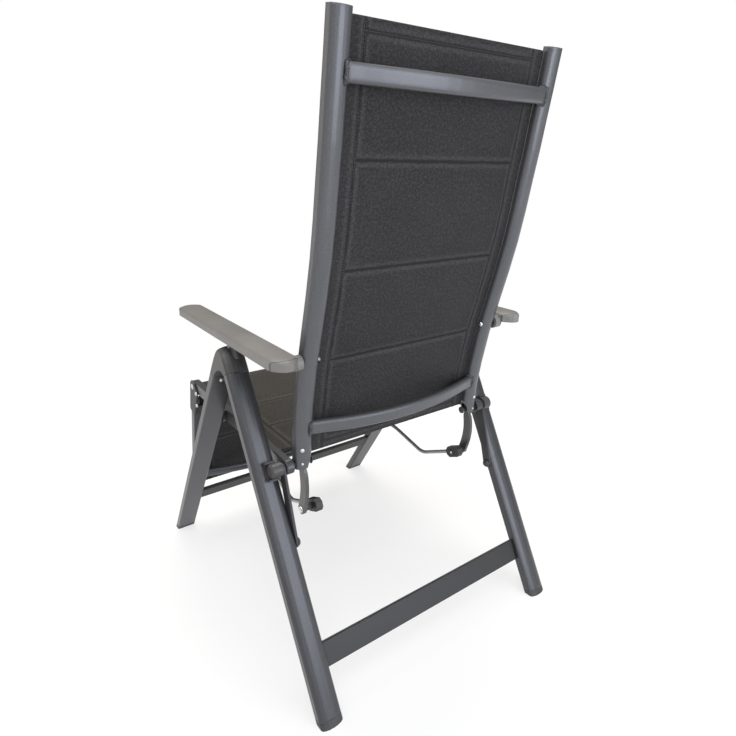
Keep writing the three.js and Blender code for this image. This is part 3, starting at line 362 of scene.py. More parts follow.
@dataclass(frozen=True)
class PowderCoat:
    """Satin powder coat with fine sparkle, a clear coat, and edges lightened by wear and a painted highlight.
    """

    name: str = "powder_coat"
    colour: Triple = (0.038, 0.0385, 0.0435)
    light: Triple = (0.096, 0.097, 0.107)
    metallic: float = 0.34
    roughness: float = 0.36
    coat: float = 0.34
    coat_roughness: float = 0.24
    speck: float = 700.0
    cloud: float = 11.0
    relief: float = 0.00006
    edge: float = 0.0016
    samples: int = 4

    def make(self) -> bpy.types.Material:
        """Builds the material."""
        g = Graph.material(self.name)
        where = g.place()
        speck = g.noise(where, self.speck, 2, 0.6)
        cloud = g.noise(where, self.cloud)
        soft = g.soft_edges(self.edge, self.samples)
        flat = g.add("ShaderNodeNewGeometry", {}, {}, "Normal")
        # Edge wear and painted highlight: the base colour turns lighter where the rounded edge's normal
        # leaves the flat face.
        edge_wear_and_highlight = (1 - g.vector("DOT_PRODUCT", soft, flat)).step(0.02, 0.22)
        tone = (speck.step(0.4, 0.72) * 0.4 + cloud * 0.2 + edge_wear_and_highlight * 0.8).step(0.05, 1.3)
        return g.surface(
            Base_Color=g.blend(tone, self.colour, self.light),
            Metallic=self.metallic,
            Roughness=self.roughness + (speck - 0.5) * 0.16 + (cloud - 0.5) * 0.12,
            Coat_Weight=self.coat,
            Coat_Roughness=self.coat_roughness,
            Normal=g.bump(speck, self.relief, 0.5, soft),
        )


@dataclass(frozen=True)
class Moulded:
    """Moulded plastic with a fine grain."""

    name: str = "moulded_black"
    colour: Triple = (0.022, 0.022, 0.024)
    light: Triple = (0.05, 0.05, 0.053)
    roughness: float = 0.48
    grain: float = 1400.0
    cloud: float = 25.0
    relief: float = 0.00005
    edge: float = 0.0008

    def make(self) -> bpy.types.Material:
        """Builds the material."""
        g = Graph.material(self.name)
        where = g.place()
        grain = g.noise(where, self.grain, 2)
        cloud = g.noise(where, self.cloud)
        return g.surface(
            Base_Color=g.blend(cloud.step(0.3, 0.8) * 0.6 + grain * 0.25, self.colour, self.light),
            Metallic=0.0,
            Roughness=self.roughness + (grain - 0.5) * 0.2,
            Normal=g.bump(grain, self.relief, 0.6, g.soft_edges(self.edge)),
        )


@dataclass(frozen=True)
class BrightSteel:
    """Plain bright steel with faint turning marks."""

    name: str = "bright_steel"
    colour: Triple = (0.72, 0.72, 0.73)
    marks: float = 700.0
    relief: float = 0.00003

    def make(self) -> bpy.types.Material:
        """Builds the material."""
        g = Graph.material(self.name)
        marks = g.noise(g.place(), self.marks, 3, 0.6)
        return g.surface(
            Base_Color=g.blend(marks, self.colour, tuple(c * 0.7 for c in self.colour)),
            Metallic=1.0,
            Roughness=0.2 + marks * 0.16,
            Normal=g.bump(marks, self.relief, 0.5),
        )


@dataclass(frozen=True)
class CollaredBolt:
    """Bright bolt that is black between its outer head and the point of its inner end."""

    name: str = "collared_bolt"
    bright: Triple = (0.7, 0.7, 0.71)
    dark: Triple = (0.018, 0.018, 0.02)
    head: float = 0.2075
    tip: float = 0.0026
    marks: float = 700.0
    relief: float = 0.00003

    def make(self) -> bpy.types.Material:
        """Builds the material."""
        g = Graph.material(self.name)
        where = g.place()
        out = g.axis(where, 0).size().over(self.head)
        shine = 1 - (1 - out) * g.away(where, CHAIR.lever_eye).over(self.tip)
        marks = g.noise(where, self.marks, 3, 0.6)
        return g.surface(
            Base_Color=g.blend(shine, self.dark, self.bright),
            Metallic=shine,
            Roughness=0.42 - shine * 0.18 + (marks - 0.5) * 0.1,
            Normal=g.bump(marks, self.relief, 0.5),
        )


@dataclass(frozen=True)
class CappedArm(Moulded):
    """Armrest plastic with the fine curved seam of its rear cap, placed along the armrest."""

    cloud: float = 9.0
    relief: float = 0.00006
    tilt: float = 1.24
    seam: float = -0.012
    bulge: float = 0.016
    half: float = 0.025
    middle: float = 0.266
    line: float = 0.0007
    groove_colour: Triple = (0.02, 0.02, 0.02)

    def make(self) -> bpy.types.Material:
        """Builds the material."""
        g = Graph.material(self.name)
        where = g.place()
        grain = g.noise(where, self.grain, 2)
        cloud = g.noise(where, self.cloud)
        lean = math.radians(self.tilt)
        forward = (0.0, -math.cos(lean), math.sin(lean))
        pivot = Vector((0, *CHAIR.arm_pivot)).dot(Vector(forward))
        ahead = g.vector("DOT_PRODUCT", where, forward) - pivot
        across = (g.axis(where, 0).size() - self.middle) * (1 / self.half)
        gap = (ahead - self.seam + (1 - across * across) * self.bulge).size()
        groove = 1 - gap.step(self.line * 0.5, self.line * 1.6)
        tone = (cloud.step(0.3, 0.8) * 0.5 + grain * 0.25) * (1 - groove * 0.8)
        base = g.blend(tone, self.colour, self.light)
        return g.surface(
            Base_Color=g.blend(groove * 0.7, base, self.groove_colour),
            Metallic=0.0,
            Roughness=self.roughness + (grain - 0.5) * 0.16 + groove * 0.2,
            Normal=g.bump(grain - groove * 6.0, self.relief, 0.7, g.soft_edges(self.edge, 6)),
        )


@dataclass(frozen=True)
class TippedRod:
    """Plated rod whose two ends are dipped in black."""

    name: str = "tipped_rod"
    plate: Triple = (0.36, 0.365, 0.38)
    dip: Triple = (0.02, 0.02, 0.022)
    low_reach: float = 0.021
    high_reach: float = 0.026
    grain: float = 600.0
    relief: float = 0.00004

    def make(self) -> bpy.types.Material:
        """Builds the material."""
        g = Graph.material(self.name)
        where = g.place()
        grain = g.noise(where, self.grain, 2)
        past_lever = g.away(where, CHAIR.lever_eye).over(self.low_reach)
        bare = past_lever * g.away(where, CHAIR.foot_eye).over(self.high_reach)
        return g.surface(
            Base_Color=g.blend(bare * (grain * 0.3 + 0.8), self.dip, self.plate),
            Metallic=bare * 0.7,
            Roughness=0.5 - bare * 0.16 + (grain - 0.5) * 0.1,
            Normal=g.bump(grain, self.relief, 0.5),
        )


@dataclass(frozen=True)
class MeshCloth:
    """Coated mesh cloth: crossed threads on the piece's own UV map in metres, with painted shade in its seams
    and a painted highlight on the band beside them.
    """

    name: str = "mesh_cloth"
    colour: Triple = (0.0045, 0.0044, 0.005)
    light: Triple = (0.052, 0.0495, 0.0515)
    pitch: float = 0.0016
    roughness: float = 0.6
    specular: float = 0.28
    relief: float = 0.0004

    def make(self) -> bpy.types.Material:
        """Builds the material."""
        g = Graph.material(self.name)
        uv = g.add("ShaderNodeTexCoord", {}, {}, "UV")
        turns = 2 * math.pi / self.pitch
        basket = ((g.axis(uv, 0) * turns).wave() * (g.axis(uv, 1) * turns).wave() * 0.5 + 0.5).power(1.4)
        fleck = g.noise(uv, 480.0, 2, 0.7)
        knot = g.noise(uv, 210.0, 3, 0.7)
        slub = g.noise(uv, 9.0, 4, 0.6)
        seam = g.add("ShaderNodeAttribute", {"attribute_name": "seam"}, {}, "Fac")
        # Painted shade: the cloth turns nearly black within about 3 mm of each seam.
        crease = 1 - seam.step(0.0004, 0.0032)
        # Painted highlight: a lighter band from about 2 to 12 mm beside each seam.
        painted_seam_highlight = seam.step(0.0022, 0.0046) * (1 - seam.step(0.0058, 0.0125))
        tone = (
            fleck.step(0.36, 0.68) * 0.42 + knot.step(0.4, 0.66) * 0.34 + basket * 0.26 + slub * 0.26 - 0.18
        )
        tone = (tone + painted_seam_highlight * 0.28) * (1 - crease * 0.94)
        return g.surface(
            Base_Color=g.blend(tone.step(-0.05, 1.15), self.colour, self.light),
            Roughness=self.roughness - basket * 0.1,
            Specular_IOR_Level=self.specular,
            Normal=g.bump(basket + fleck * 0.6, self.relief, 0.7),
        )


@dataclass(frozen=True)
class Thread:
    """Sewing thread."""

    name: str = "sewing_thread"
    colour: Triple = (0.03, 0.03, 0.033)
    twist: float = 2500.0
    relief: float = 0.0001

    def make(self) -> bpy.types.Material:
        """Builds the material."""
        g = Graph.material(self.name)
        twist = g.noise(g.place(), self.twist, 2)
        return g.surface(
            Base_Color=g.blend(twist, self.colour, tuple(c * 2.2 for c in self.colour)),
            Roughness=0.55 + twist * 0.2,
            Normal=g.bump(twist, self.relief, 0.5),
        )


@dataclass(frozen=True)
class PaleFloor:
    """Pale paper floor that keeps the shadow and fades into a white backdrop away from the chair."""

    name: str = "pale_floor"
    tone: float = 0.9
    lift: float = 0.67
    near: float = 0.7
    far: float = 1.9
    grain: float = 30.0

    def make(self) -> bpy.types.Material:
        """Builds the material."""
        g = Graph.material(self.name)
        where = g.place()
        away = g.add("ShaderNodeVectorMath", {"operation": "LENGTH"}, {0: where}, "Value")
        shown = g.ray("Is Camera Ray").most(g.ray("Is Glossy Ray"))
        colour = g.blend(g.noise(where, self.grain), (self.tone,) * 3, (self.tone * 0.99,) * 3)
        paper = g.add("ShaderNodeBsdfDiffuse", {}, {"Color": colour})
        glow = g.add("ShaderNodeEmission", {}, {"Color": (1, 1, 1, 1), "Strength": 1.0})
        share = away.step(self.near, self.far) * (1 - self.lift) + self.lift
        g.show(g.add("ShaderNodeMixShader", {}, {0: share * shown, 1: paper, 2: glow}))
        return g.owner


# Modelling helpers.


def calm() -> None:
    """Leaves edit mode and deselects everything."""
    if bpy.context.mode != "OBJECT":
        bpy.ops.object.mode_set(mode="OBJECT")
    bpy.ops.object.select_all(action="DESELECT")


def only(piece: bpy.types.Object) -> None:
    """Makes one object the selected and active one."""
    calm()
    piece.select_set(True)
    bpy.context.view_layer.objects.active = piece


def settle(piece: bpy.types.Object, turn: Matrix, to: Vector | None = None) -> None:
    """Moves a piece's mesh to its place and leaves the object at the origin.

    Args:
        piece: The object.
        turn: Rotation applied first.
        to: Place of the mesh's own origin.
    """
    matrix = Matrix.Translation(to or Vector()) @ turn.to_4x4() @ piece.matrix_basis
    piece.data.transform(matrix)
    piece.matrix_basis = Matrix.Identity(4)
    piece.data.update()


def joined(pieces: Sequence[bpy.types.Object], name: str) -> bpy.types.Object:
    """Joins pieces into one named object.

    Args:
        pieces: The objects.
        name: Name of the object and of its mesh.

    Returns:
        The joined object.
    """
    calm()
    for piece in pieces:
        piece.select_set(True)
    bpy.context.view_layer.objects.active = pieces[0]
    if len(pieces) > 1:
        bpy.ops.object.join()
    pieces[0].name = name
    pieces[0].data.name = name
    return pieces[0]


def face_out(piece: bpy.types.Object) -> None:
    """Turns every face of a closed piece outwards."""
    only(piece)
    bpy.ops.object.mode_set(mode="EDIT")
    bpy.ops.mesh.select_all(action="SELECT")
    bpy.ops.mesh.normals_make_consistent(inside=False)
    bpy.ops.object.mode_set(mode="OBJECT")


def finish_piece(piece: bpy.types.Object, body: str, material: bpy.types.Material) -> None:
    """Gives a piece its material and body, and logs it.

    Args:
        piece: The finished mesh object.
        body: Body that it moves with.
        material: Its material.
    """
    piece.data.materials.clear()
    piece.data.materials.append(material)
    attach(piece, body)
    log.info("%s: %d faces on %s", piece.name, len(piece.data.polygons), body)


def apply_all(piece: bpy.types.Object) -> None:
    """Applies every modifier of a piece."""
    only(piece)
    for name in [m.name for m in piece.modifiers]:
        bpy.ops.object.modifier_apply(modifier=name)


# Slings.


@dataclass
class Sling:
    """A padded mesh sling between two tubes, made from its cut and inflated between its seams."""

    name: str
    node: str
    body: str
    half: float
    strip: float
    length: float
    seams: tuple[float, ...]
    line: Line
    pad: float
    sag: float = 0.0
    edge: float = 0.0026
    cell: float = 0.0085
    hem: float = 0.016
    crease: float = 0.0032
    fill: float = 0.45
    start: float = 0.5
    slide: float = 0.002
    frames: int = 20

    @property
    def quilt(self) -> float:
        """Distance from the middle to each lengthwise seam."""
        return self.half - self.strip

    @property
    def lines(self) -> list[float]:
        """Distances along the sling of everything sewn across it."""
        return [self.hem, *self.seams, self.length - self.hem]

    def mark_seams(self, piece: bpy.types.Object) -> None:
        """Writes every point's distance to the nearest seam as an attribute."""
        mesh = piece.data
        layer = mesh.uv_layers.active.data
        values = [1.0] * len(mesh.vertices)
        for loop in mesh.loops:
            x, along = layer[loop.index].uv
            cross = min(abs(along - s) for s in self.lines) if abs(x) < self.quilt else 1.0
            values[loop.vertex_index] = min(abs(abs(x) - self.quilt), cross)
        mesh.attributes.new("seam", "FLOAT", "POINT").data.foreach_set("value", values)

    def spread(self, stops: Sequence[float]) -> list[float]:
        """Places between stops at about the cell size, stops included."""
        places = [stops[0]]
        for a, b in zip(stops, stops[1:]):
            count = max(1, round((b - a) / self.cell))
            places += [a + (b - a) * (i + 1) / count for i in range(count)]
        return places

    def spot(self, x: float, along: float) -> tuple[Vector, Vector]:
        """Place of the middle surface and the direction of its face."""
        middle, face = self.line(along)
        dip = -self.sag * (1 - (x / self.half) ** 2) * math.sin(math.pi * along / self.length)
        return middle + Vector((x, 0, 0)) + face * dip, face

    def sheet(self) -> bpy.types.Object:
        """Lays the cut out as a sheet, with its UV map in metres and its sewn points held.

        Returns:
            The sheet, before it gets its thickness.
        """
        quilt, crease = self.quilt, self.crease
        columns = self.spread([-self.half, -quilt, -quilt + crease, quilt - crease, quilt, self.half])
        stops = [0.0, *self.lines, self.length]
        near = {s + o for s in self.lines for o in (-crease, crease)}
        rows = self.spread(sorted({*stops, *near}))
        calm()
        bpy.ops.mesh.primitive_grid_add(
            x_subdivisions=len(columns) - 1, y_subdivisions=len(rows) - 1, size=1, calc_uvs=True
        )
        piece = bpy.context.object
        mesh = piece.data
        piece.name = mesh.name = self.name
        held, cut = [], {}
        keys = [(round(v.co.y, 5), round(v.co.x, 5)) for v in mesh.vertices]
        for n, i in enumerate(sorted(range(len(keys)), key=keys.__getitem__)):
            x, along = columns[n % len(columns)], rows[n // len(columns)]
            mesh.vertices[i].co = self.spot(x, along)[0]
            cut[i] = (x, along)
            sewn = abs(x) > quilt - 1e-6 or any(abs(along - s) < 1e-6 for s in stops)
            if sewn or along < self.hem or along > self.length - self.hem:
                held.append(i)
        layer = mesh.uv_layers.active.data
        for loop in mesh.loops:
            layer[loop.index].uv = cut[loop.vertex_index]
        piece.vertex_groups.new(name="held").add(held, 1.0, "REPLACE")
        return piece

    def build(self) -> bpy.types.Object:
        """Sews the sheet shut at its edges and inflates it between its seams.

        Returns:
            The finished sling.
        """
        piece = self.sheet()
        thick = piece.modifiers.new("thick", "SOLIDIFY")
        thick.thickness = self.edge
        thick.offset = 0.0
        thick.use_rim = True
        thick.use_even_offset = True
        apply_all(piece)
        face_out(piece)
        self.inflate(piece)
        fine = piece.modifiers.new("fine", "SUBSURF")
        fine.levels = fine.render_levels = 1
        apply_all(piece)
        only(piece)
        bpy.ops.object.shade_smooth()
        self.mark_seams(piece)
        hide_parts(self.node)
        return piece

    def pillow(self, x: float, along: float) -> float:
        """Height of the filling at a place, from 0 at a seam to 1 in the middle of a panel.

        Args:
            x: Distance across, from the middle.
            along: Distance along the sling.

        Returns:
            The height as a share.
        """
        stops = self.lines
        if abs(x) >= self.quilt or not stops[0] < along < stops[-1]:
            return 0.0
        for a, b in zip(stops, stops[1:]):
            if a <= along <= b:
                part = math.sin(math.pi * (along - a) / (b - a))
                return max(part, 0.0) ** 0.4 * max(0.0, 1 - (abs(x) / self.quilt) ** 8) ** 0.5
        return 0.0

    def press(self, piece: bpy.types.Object) -> None:
        """Fills the cloth with pressure while its seams are held, and applies the result."""
        cloth = piece.modifiers.new("filling", "CLOTH")
        values = {
            "quality": 6, "mass": 0.15, "tension_stiffness": 12, "compression_stiffness": 12,
            "shear_stiffness": 6, "bending_stiffness": 0.2, "use_pressure": True,
            "uniform_pressure_force": 4.0, "shrink_min": -0.012, "vertex_group_mass": "held",
        }
        for key, value in values.items():
            setattr(cloth.settings, key, value)
        cloth.settings.effector_weights.gravity = 0.0
        cloth.collision_settings.use_collision = False
        cloth.point_cache.frame_start = 1
        cloth.point_cache.frame_end = self.frames
        for frame in range(1, self.frames + 1):
            bpy.context.scene.frame_set(frame)
        apply_all(piece)
        bpy.context.scene.frame_set(1)

    def inflate(self, piece: bpy.types.Object) -> None:
        """Fills the panels: a first pillow shape, then cloth under pressure, kept within the padding.

        Args:
            piece: The closed sheet.
        """
        mesh = piece.data
        rest = [v.co.copy() for v in mesh.vertices]
        normals = [v.normal.copy() for v in mesh.vertices]
        lift = (self.pad - self.edge) / 2
        layer = mesh.uv_layers.active.data
        cut = {loop.vertex_index: tuple(layer[loop.index].uv) for loop in mesh.loops}
        heights = [self.pillow(*cut[i]) for i in range(len(rest))]
        for v, normal, h in zip(mesh.vertices, normals, heights):
            v.co += normal * lift * self.start * h
        self.press(piece)
        for v, place, normal, h in zip(piece.data.vertices, rest, normals, heights):
            move = v.co - place
            rise = move.dot(normal)
            slide = move - normal * rise
            if slide.length > self.slide:
                slide *= self.slide / slide.length
            top = lift * (0.35 + 0.65 * h) if h > 0 else 0.0
            v.co = place + normal * min(max(rise, lift * 0.3 * h), top) + slide * min(1.0, h * 4)
        piece.data.update()


@dataclass
class Stitching:
    """Rows of stitches along a sling's seams, on both faces."""

    sling: Sling
    pitch: float = 0.0046
    long: float = 0.0034
    radius: float = 0.00042
    twin: float = 0.0022
    inset: float = 0.0005

    def one(self) -> bpy.types.Object:
        """A single stitch along +X, lying on z = 0."""
        calm()
        bpy.ops.mesh.primitive_cylinder_add(
            vertices=5, radius=self.radius, depth=self.long, end_fill_type="NGON"
        )
        stitch = bpy.context.object
        settle(stitch, Matrix.Rotation(math.pi / 2, 3, "Y"))
        for v in stitch.data.vertices:
            v.co.z += self.radius * 0.4
        return stitch

    def row(self, ends: Line, length: float) -> bpy.types.Object:
        """Stitches along a line.

        Args:
            ends: Gives the place and the face direction at a distance along the line.
            length: Length of the line.

        Returns:
            One object with every stitch of the row.
        """
        shape = self.one()
        source = [v.co.copy() for v in shape.data.vertices]
        polygons = [tuple(p.vertices) for p in shape.data.polygons]
        bpy.data.objects.remove(shape)
        points, faces = [], []
        count = int(length / self.pitch)
        for n in range(count):
            at = (n + 0.5) * length / count
            place, face = ends(at)
            ahead, _ = ends(min(at + self.pitch / 3, length))
            behind, _ = ends(max(at - self.pitch / 3, 0))
            run = (ahead - behind).normalized()
            over = face.cross(run).normalized()
            turn = Matrix((run, over, face)).transposed()
            base = len(points)
            points += [place + turn @ p for p in source]
            faces += [tuple(base + i for i in f) for f in polygons]
        mesh = bpy.data.meshes.new("row")
        mesh.from_pydata(points, [], faces)
        thing = bpy.data.objects.new("row", mesh)
        bpy.context.collection.objects.link(thing)
        return thing

    def on_face(self, way: int, spot: Callable[[float], Point]) -> Line:
        """Line on one face of the sling.

        Args:
            way: 1 for the front face, -1 for the rear face.
            spot: Gives the place in the cut at a distance along the line.

        Returns:
            The line.
        """
        rise = self.sling.edge / 2

        def at(distance: float) -> tuple[Vector, Vector]:
            """Place and face direction."""
            place, face = self.sling.spot(*spot(distance))
            return place + face * way * rise, face * way

        return at

    def build(self) -> bpy.types.Object:
        """All rows of the sling, joined."""
        s = self.sling
        places = [*(a + o for a in s.seams for o in (-self.twin, self.twin)), s.hem, s.length - s.hem]
        edges = (-s.quilt - self.twin, -s.quilt + self.inset, s.quilt - self.inset, s.quilt + self.twin)
        rows = []
        for way in (1, -1):
            for along in places:
                line = self.on_face(way, lambda d, along=along: (-s.quilt + d, along))
                rows.append(self.row(line, 2 * s.quilt))
            for x in edges:
                rows.append(self.row(self.on_face(way, lambda d, x=x: (x, d)), s.length))
        return joined(rows, f"{s.name}_stitches")


# Small hardware.


@dataclass
class Rivet:
    """A domed rivet on a face."""

    radius: float = 0.0045
    height: float = 0.0022
    flange: float = 0.0006
    sink: float = 0.0004

    def make(self, place: Vector, out: Vector) -> bpy.types.Object:
        """Builds one rivet.

        Args:
            place: Point on the face.
            out: Direction away from the face.

        Returns:
            The rivet at its place.
        """
        calm()
        bpy.ops.mesh.primitive_uv_sphere_add(segments=20, ring_count=10, radius=self.radius)
        dome = bpy.context.object
        only(dome)
        bpy.ops.object.mode_set(mode="EDIT")
        bpy.ops.mesh.select_all(action="SELECT")
        bpy.ops.mesh.bisect(plane_co=(0, 0, 0), plane_no=(0, 0, 1), clear_inner=True, use_fill=True)
        bpy.ops.object.mode_set(mode="OBJECT")
        for v in dome.data.vertices:
            v.co.z = v.co.z / self.radius * self.height + self.flange
        only(dome)
        bpy.ops.object.mode_set(mode="EDIT")
        bpy.ops.mesh.select_all(action="DESELECT")
        bpy.ops.object.mode_set(mode="OBJECT")
        for polygon in dome.data.polygons:
            polygon.select = polygon.normal.z < -0.9
        bpy.ops.object.mode_set(mode="EDIT")
        bpy.ops.mesh.select_mode(type="FACE")
        bpy.ops.mesh.extrude_region_move(TRANSFORM_OT_translate={"value": (0, 0, -self.flange - self.sink)})
        bpy.ops.object.mode_set(mode="OBJECT")
        only(dome)
        bpy.ops.object.shade_smooth_by_angle(angle=math.radians(40))
        settle(dome, out.to_track_quat("Z", "Y").to_matrix(), place)
        return dome


@dataclass
class WeldBead:
    """A rippled bead round a bar where it meets a tube."""

    width: float
    height: float
    radius: float = 0.0042
    squareness: float = 4.0
    ripples: int = 15
    ripple_depth: float = 0.24
    around: int = 56
    ring: int = 8
    thin: float = 0.1

    def make(self, centre: Vector, across: Vector, up: Vector) -> bpy.types.Object:
        """Builds one bead.

        Args:
            centre: Middle of the bar's end.
            across: Direction of the bar's depth.
            up: Direction of the bar's height.

        Returns:
            The bead.
        """
        calm()
        bpy.ops.mesh.primitive_torus_add(
            major_segments=self.around, minor_segments=self.ring, major_radius=1.0, minor_radius=self.thin
        )
        bead = bpy.context.object
        a, b, n = self.width / 2, self.height / 2, self.squareness
        out = across.cross(up).normalized()
        for v in bead.data.vertices:
            angle = math.atan2(v.co.y, v.co.x)
            radial = math.hypot(v.co.x, v.co.y) - 1.0
            s = (abs(math.cos(angle)) ** n / a**n + abs(math.sin(angle)) ** n / b**n) ** (-1 / n)
            ripple = 1 + self.ripple_depth * math.sin(angle * self.ripples + math.sin(angle * 4))
            r = s + radial / self.thin * self.radius * ripple - self.radius * 0.25
            h = v.co.z / self.thin * self.radius * 0.8 * ripple
            v.co = centre + across * (r * math.cos(angle)) + up * (r * math.sin(angle)) + out * h
        bead.data.update()
        face_out(bead)
        bpy.ops.object.shade_smooth()
        return bead


# Sub-assemblies.


class Palette:
    """The finishes, made once."""

    def __init__(self) -> None:
        """Makes every finish."""
        self.frame = PowderCoat().make()
        self.bars = PowderCoat("powder_coat_bars", (0.085, 0.086, 0.092), (0.2, 0.2, 0.21)).make()
        self.plastic = Moulded().make()
        self.tube = PowderCoat("powder_coat_tube", edge=0.0045, samples=8).make()
        # Painted light: lighter copies of the frame's powder coat on the uprights and the bowed bars stand in
        # for the bright reflections on them.
        self.upright = PowderCoat(
            "powder_coat_upright_painted_light", (0.07, 0.0715, 0.079), (0.165, 0.168, 0.182), edge=0.0045, samples=8
        ).make()
        self.bowed = PowderCoat(
            "powder_coat_bowed_painted_light", (0.074, 0.0755, 0.083), (0.16, 0.162, 0.176), edge=0.009, samples=8
        ).make()
        self.levers = PowderCoat("powder_coat_lever", (0.062, 0.061, 0.06), (0.13, 0.128, 0.125)).make()
        self.elbow = Moulded("moulded_grey", (0.036, 0.034, 0.034), (0.075, 0.072, 0.071), 0.4).make()
        self.armrest = CappedArm(
            "moulded_armrest", (0.14, 0.134, 0.129), (0.235, 0.224, 0.213), 0.42, edge=0.003
        ).make()
        # Painted shade: a darker, duller copy of the frame's powder coat on the stretchers.
        self.stretchers = PowderCoat(
            "powder_coat_stretcher_painted_shade", (0.023, 0.0227, 0.0235), (0.056, 0.055, 0.0565), 0.25, 0.52, 0.1
        ).make()
        self.rods = TippedRod().make()
        self.bolts = CollaredBolt().make()
        self.cloth = MeshCloth().make()
        # Painted light: a warmer, lighter copy of the mesh cloth stands in for warm light falling on the
        # seat.
        self.painted_lit_seat_cloth = MeshCloth("mesh_cloth_seat_painted_light", (0.012, 0.011, 0.0095), (0.085, 0.078, 0.067)).make()
        self.thread = Thread().make()
        self.bright = BrightSteel().make()

    def dress_nodes(self, nodes: dict[str, bpy.types.Object]) -> None:
        """Gives every CAD node its finish by what it is.

        Args:
            nodes: The CAD nodes by name.
        """
        plan = {
            "elbow": self.elbow, "armrest": self.armrest, "armrest_post": self.bars, "link": self.plastic,
            "lever": self.levers, "push_rod": self.rods, "foot_bracket": self.plastic,
            "front_foot": self.plastic, "rear_foot": self.plastic, "seat_boss": self.plastic,
            "hinge_tongue": self.plastic, "hub_saddle": self.plastic, "seat_hub": self.elbow,
            "arm_bush": self.plastic, "hinge_pin": self.bright, "link_pin": self.plastic,
            "back_bolt": self.plastic, "lever_bolt": self.bolts, "foot_bolt": self.bright,
            "arm_bolt": self.bright, "front_leg": self.tube, "rear_leg": self.tube, "upright": self.upright, "top_bar": self.bowed,
            "bottom_bar": self.bowed, "foot_bar": self.bowed, "front_stretcher": self.stretchers,
            "rear_stretcher": self.stretchers,
        }
        for name, node in nodes.items():
            kind = name.removesuffix("_left").removesuffix("_right")
            node.data.materials.clear()
            node.data.materials.append(plan.get(kind, self.frame))


@dataclass
class BackRest:
    """The back: sling, stitches, rivets and welds on the curved uprights."""

    hem_rise: float = 0.013
    top_gap: float = 0.006
    set_forward: float = 0.004
    pad: float = 0.013
    strip: float = 0.027
    seams: tuple[float, ...] = (0.180, 0.337, 0.500)
    bar_height: float = 0.026
    bar_depth: float = 0.014
    bar_set: float = 0.0063
    bar_rises: Point = (0.6215, 0.072)
    bar_inward: float = 0.0005
    bead_slide: float = 0.0085
    rivet_offset: float = 0.006
    rivets: tuple[Point, ...] = ((0.031, 0.0042), (0.003, 0.0026))

    def sling(self) -> Sling:
        """The back sling's cut."""
        length = CHAIR.back_height - self.top_gap - self.hem_rise

        def line(along: float) -> tuple[Vector, Vector]:
            """Middle of the sling and its face direction."""
            place, _, back = CHAIR.upright_at(self.hem_rise + along)
            return place - back * self.set_forward, -back

        half = CHAIR.upright_inner - CHAIR.sling_gap
        return Sling("back_panel", "back_sling", "back", half, self.strip, length, self.seams, line, self.pad)

    def rivet(self, side: Side, rise: float, radius: float) -> bpy.types.Object:
        """A rivet on the crown of an upright.

        Args:
            side: Side of the chair.
            rise: Height above the back pivot.
            radius: Radius of the rivet.

        Returns:
            The rivet.
        """
        place, _, back = CHAIR.upright_at(rise)
        depth, tilt = CHAIR.crown_at(self.rivet_offset)
        spot = place + back * depth
        spot.x = side.value * (CHAIR.upright_outer - CHAIR.upright_width / 2 + self.rivet_offset)
        return Rivet(radius, radius / 2).make(spot, back * math.cos(tilt) + side.out * math.sin(tilt))

    def weld(self, side: Side, rise: float) -> bpy.types.Object:
        """A bead round a bar's end that follows the upright's rounded back.

        Args:
            side: Side of the chair.
            rise: Height of the bar above the back pivot.

        Returns:
            The bead.
        """
        place, along, back = CHAIR.upright_at(rise)
        middle = place + back * self.bar_set
        middle.x = side.value * (CHAIR.upright_inner - self.bar_inward)
        bead = WeldBead(self.bar_depth, self.bar_height).make(middle, back, along)
        flat = CHAIR.upright_depth - CHAIR.upright_front
        half = CHAIR.upright_width / 2
        for v in bead.data.vertices:
            part = ((v.co - place).dot(back) - flat) / CHAIR.upright_crown
            if part > 0:
                fall = half * (1 - math.sqrt(max(0.0, 1 - min(part, 1) ** 2)))
                v.co.x += side.value * min(fall, self.bead_slide)
        return bead

    def build(self, looks: Palette) -> None:
        """Makes the back's pieces."""
        sling = self.sling()
        finish_piece(sling.build(), "back", looks.cloth)
        finish_piece(Stitching(sling).build(), "back", looks.thread)
        for side in Side:
            rivets = [self.rivet(side, rise, radius) for rise, radius in self.rivets]
            finish_piece(joined(rivets, f"upright_rivets_{side.word}"), "back", looks.bright)
            beads = [self.weld(side, rise) for rise in self.bar_rises]
            finish_piece(joined(beads, f"back_welds_{side.word}"), "back", looks.frame)


@dataclass
class Seat:
    """The seat sling with its stitches."""

    rear: float = 0.049
    rise: float = 0.006
    pad: float = 0.013
    strip: float = 0.030
    sag: float = 0.006
    seams: tuple[float, ...] = (0.100, 0.215)

    def build(self, looks: Palette) -> None:
        """Makes the seat's pieces."""
        start = Vector((0, *CHAIR.back_pivot))
        run = Vector((0, *CHAIR.foot_pivot)) - start
        along_rail = run.normalized()
        up = Vector((0, along_rail.z, -along_rail.y))

        def line(along: float) -> tuple[Vector, Vector]:
            """Middle of the sling and its face direction."""
            return start + along_rail * (self.rear + along) + up * self.rise, up

        sling = Sling(
            "seat_panel", "seat_sling", "seat", CHAIR.rail_inner - CHAIR.sling_gap, self.strip,
            run.length - self.rear, self.seams, line, self.pad, self.sag,
        )
        finish_piece(sling.build(), "seat", looks.painted_lit_seat_cloth)
        finish_piece(Stitching(sling).build(), "seat", looks.thread)


